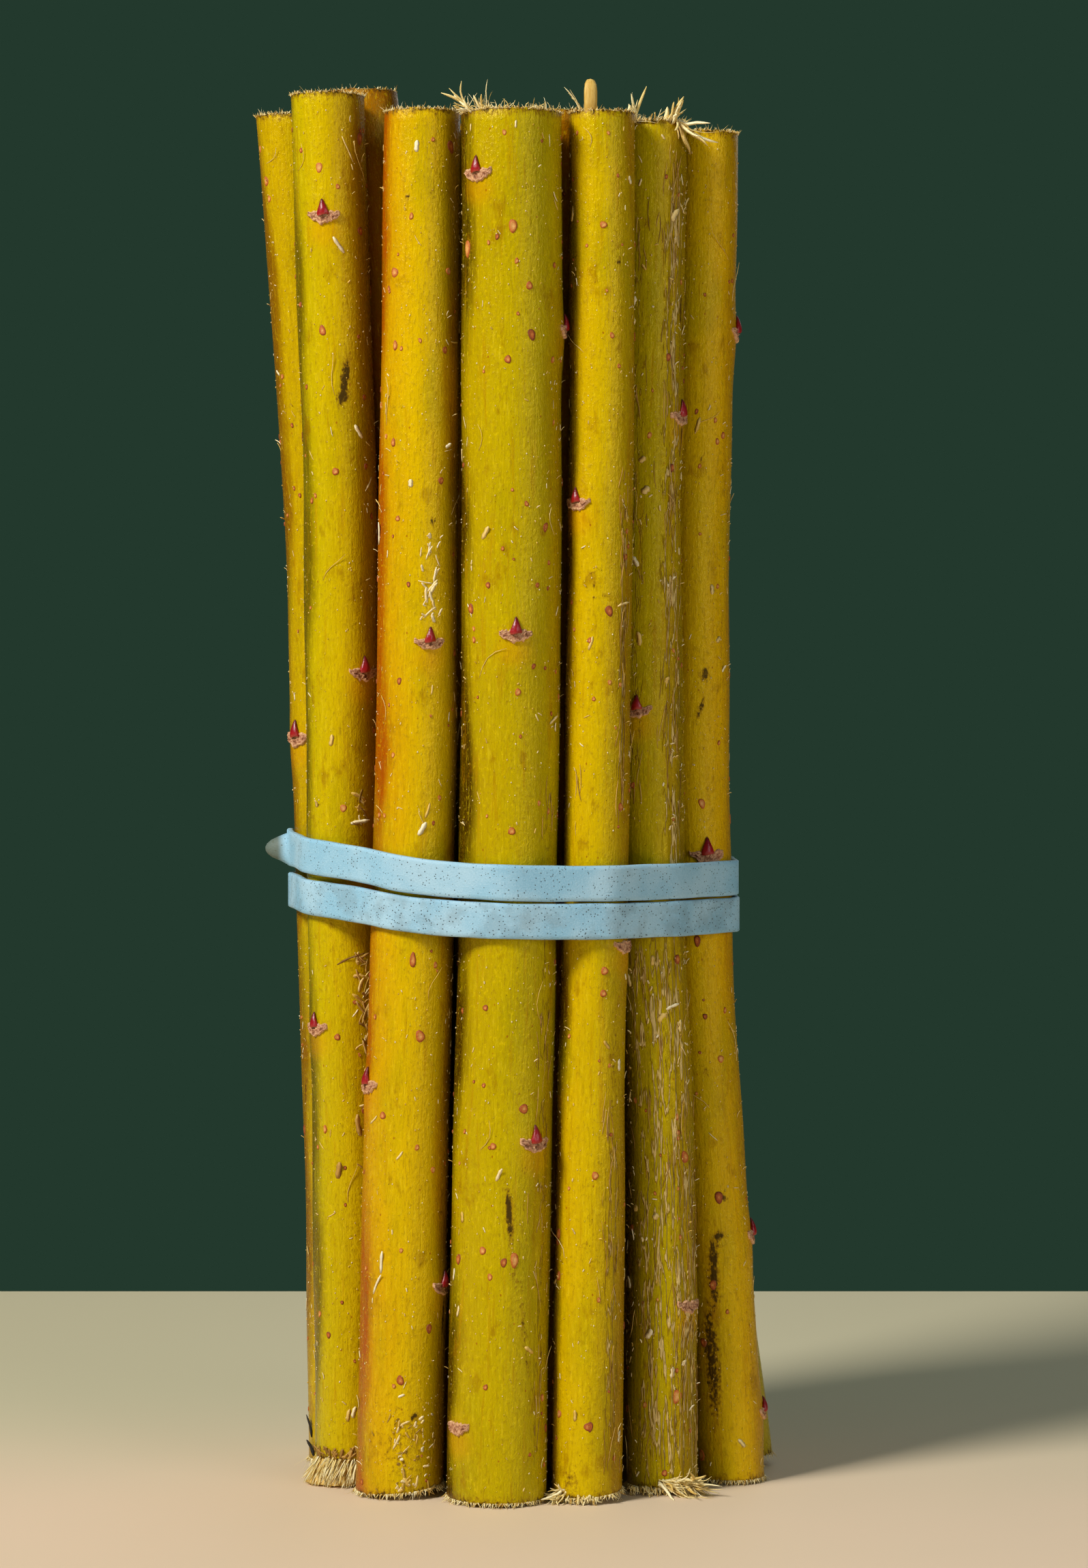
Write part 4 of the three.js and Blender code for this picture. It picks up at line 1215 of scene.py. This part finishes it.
# Name, roughness, the size of its crumbs, how far they are drawn out, the depth of its relief,
# and its shades
CRUMBLY = [
    ("leaf_scar_cork", 0.7, 0.4, 1, 0.12, [
        (0.0, "#6c3c20"), (0.3, "#a8704c"), (0.55, "#c49470"), (0.8, "#d8a878"), (1.0, "#e8c090"),
    ]),
    ("lenticel_cork", 0.65, 0.25, 1, 0.06, [
        (0.05, "#e0ac64"), (0.3, "#d4964c"), (0.55, "#bc6420"), (0.8, "#944410"), (1.0, "#70380a"),
    ]),
    ("wood_shaving", 0.6, 0.3, 3, 0.03, [
        (0.0, "#8c6a1c"), (0.3, "#d8b048"), (0.6, "#e8cc84"), (1.0, "#f4e8c4"),
    ]),
    ("torn_wood_fibre", 0.55, 0.3, 6, 0.08, [
        (0.0, "#9c6c20"), (0.3, "#d4ac50"), (0.6, "#ecd488"), (1.0, "#fcf0c4"),
    ]),
    ("dead_bark_skin", 0.8, 0.5, 4, 0.08, [(0.0, "#1c1814"), (1.0, "#5c4a38")]),
    ("peeling_bark", 0.7, 0.4, 8, 0.06, [
        (0.0, "#7c5414"), (0.35, "#b88c3c"), (0.7, "#d8b468"), (1.0, "#e8cc88"),
    ]),
]


def loose_finishes():
    """Everything on a twig that isn't bark, in the order of the finishes' numbers."""
    return [sawn_finish(), bud_finish()] + [crumbly_finish(*kind) for kind in CRUMBLY]


def rubber_finish():
    """Natural rubber, dyed light blue and cut from a dipped tube: matt, a little chalky where
    it is stretched, with fine dark dirt and grey smudges; its cut edge is greyer. The hollow of
    its ear is darkened with painted shade."""
    material, tree, shader, place, marks = new_finish(
        "blue_band_rubber", 0.62, ("straight", "marks"), IOR=1.52
    )
    dusty, edge, slack = (wire(tree, "SeparateXYZ", {0: marks}, output=axis) for axis in "XYZ")
    smudge = grain(tree, place, 3.2, 1, 4, 0.6)
    broad = grain(tree, place, 10, 1)
    fine = grain(tree, place, 0.25)
    here = wire(tree, "Math", {0: smudge, 1: dusty}, operation="MULTIPLY")
    grit = spots(tree, place, 0.45, 0.13, 1, 0.6)
    grit = wire(tree, "Math", {0: grit, 1: here}, operation="MULTIPLY")
    specks = spots(tree, place, 1.0, 0.13, 1, 0.4)
    ground = coats(tree, colour("#88bcd8"), [
        (broad, 0.35, 0.65, 1.0, "#a4cce2"),
        (fine, 0.45, 0.8, 0.4, "#c4e0f0"),
        (fine, 0.45, 0.25, 0.35, "#7ca4b8"),
        (here, 0.42, 0.62, 0.35, "#748c98"),
        (grit, 0.2, 0.3, 0.85, "#34444c"),
        (specks, 0.0, 1.0, 0.7, "#303e46"),
        (edge, 0.2, 1.0, 0.4, "#7c9ca4"),
        # painted shade in the hollow of the ear
        (slack, 0.1, 0.5, 0.9, "#58604c"),
    ])
    join(tree, shader, ground, weigh(tree, (fine, 1.0), (grit, -0.8)), 0.05)
    return material


def table_finish():
    """A plain pale table top, with painted shade that greys it a little towards the back."""
    material, tree, shader = new_finish("pale_table", 0.65, (), IOR=1.45)
    place = wire(tree, "TexCoord", output="Object")
    back = wire(tree, "SeparateXYZ", {0: place}, output="Y")
    cloud = wire(tree, "TexNoise", {"Vector": place, "Scale": 9.0, "Detail": 3.0})
    ground = coats(tree, colour("#e4caae"), [
        (cloud, 0.4, 0.7, 0.5, "#dcc8aa"),
        # painted shade: greyer to the back, where the lamps' light falls off
        (back, -0.06, 0.08, 1.0, "#ccc3a2"),
    ])
    tree.links.new(ground, shader.inputs["Base Color"])
    return material


# Table, light and camera

FLOOR_BACK = 0.196
FLOOR_SIDE = 0.9
FLOOR_FRONT = -0.9


def lay_floor():
    mesh = bpy.data.meshes.new("floor")
    corners = [
        (-FLOOR_SIDE, FLOOR_FRONT, 0), (FLOOR_SIDE, FLOOR_FRONT, 0),
        (FLOOR_SIDE, FLOOR_BACK, 0), (-FLOOR_SIDE, FLOOR_BACK, 0),
    ]
    mesh.from_pydata(corners, [], [(0, 1, 2, 3)])
    mesh.materials.append(table_finish())
    floor = bpy.data.objects.new("floor", mesh)
    bpy.context.scene.collection.objects.link(floor)


# Each lamp: its name, where it hangs and its width in metres, its watts, and its tint
LAMPS = [
    ("key", (-0.705, -0.607, 0.9), 0.34, 17.0, (1.0, 0.97, 0.92)),
    ("top", (0.1, 0.1, 1.5), 1.0, 1.5, (0.96, 0.98, 1.0)),
    ("right_fill", (0.95, -1.1, 0.45), 0.8, 4.9, (0.95, 0.97, 1.0)),
    ("back_fill", (0.5, 1.3, 0.9), 1.2, 2.6, (0.97, 0.98, 1.0)),
]
LAMP_AIM = (0.0, 0.0, 0.11)


def hang_light(name, place, size, power, tint):
    lamp = bpy.data.lights.new(name, "AREA")
    lamp.shape = "DISK"
    lamp.size = size
    lamp.energy = power
    lamp.color = tint
    holder = bpy.data.objects.new(name, lamp)
    bpy.context.scene.collection.objects.link(holder)
    away = np.array(LAMP_AIM) - place
    holder.location = place
    flat = math.hypot(away[0], away[1])
    holder.rotation_euler = (math.atan2(flat, -away[2]), 0, math.atan2(away[1], away[0]) - math.pi / 2)


def light_studio():
    for lamp in LAMPS:
        hang_light(*lamp)
    world = bpy.data.worlds.new("dark_room")
    world.use_nodes = True
    world.node_tree.nodes["Background"].inputs["Color"].default_value = colour("#23392d")
    bpy.context.scene.world = world
    bpy.context.scene.view_settings.view_transform = "Standard"


# The eye is level with the upper middle of the bundle, 650 mm in front of the thickest twig
EYE = (4.6, -687, 124)
LENS = 100
TILT_DOWN = 1.35


def set_camera():
    data = bpy.data.cameras.new("camera")
    data.lens = LENS
    data.sensor_width = 36
    data.clip_start = 0.01
    camera = bpy.data.objects.new("camera", data)
    camera.location = [v * MM for v in EYE]
    camera.rotation_euler = (math.radians(90 - TILT_DOWN), 0, 0)
    bpy.context.scene.collection.objects.link(camera)
    bpy.context.scene.camera = camera


# The whole bundle

def plan_twigs():
    """All 27 twigs, with how finely each is drawn and how much litter it carries."""
    twigs = list(FRONT_TWIGS)
    for row in (BACK_ROW, INNER_RING, CORE):
        twigs += row_of_twigs(row, len(twigs) + 1)
    for number, twig in enumerate(twigs, 1):
        twig["number"] = number
        twig["bark_rise"] = 0.45 if twig["foot"] < 0.3 else twig.get("overhang", 0.1)
        facing = twig.setdefault("facing", 0)
        detail = twig.setdefault("detail", "shown")
        twig["step"], twig["share"], twig["fuzz"] = DETAIL[detail]
        twig["sector"] = (0, 360) if detail == "inner" else (facing - 100, facing + 100)
    return twigs


def make_finishes():
    shared = loose_finishes()
    return {name: [bark_finish(name, shades)] + shared for name, shades in BARK_LOOKS.items()}


set_camera()
light_studio()
lay_floor()
twigs = plan_twigs()
finishes = make_finishes()
for twig in twigs:
    dress_twig(twig, finishes)
wind_band(twigs, rubber_finish())
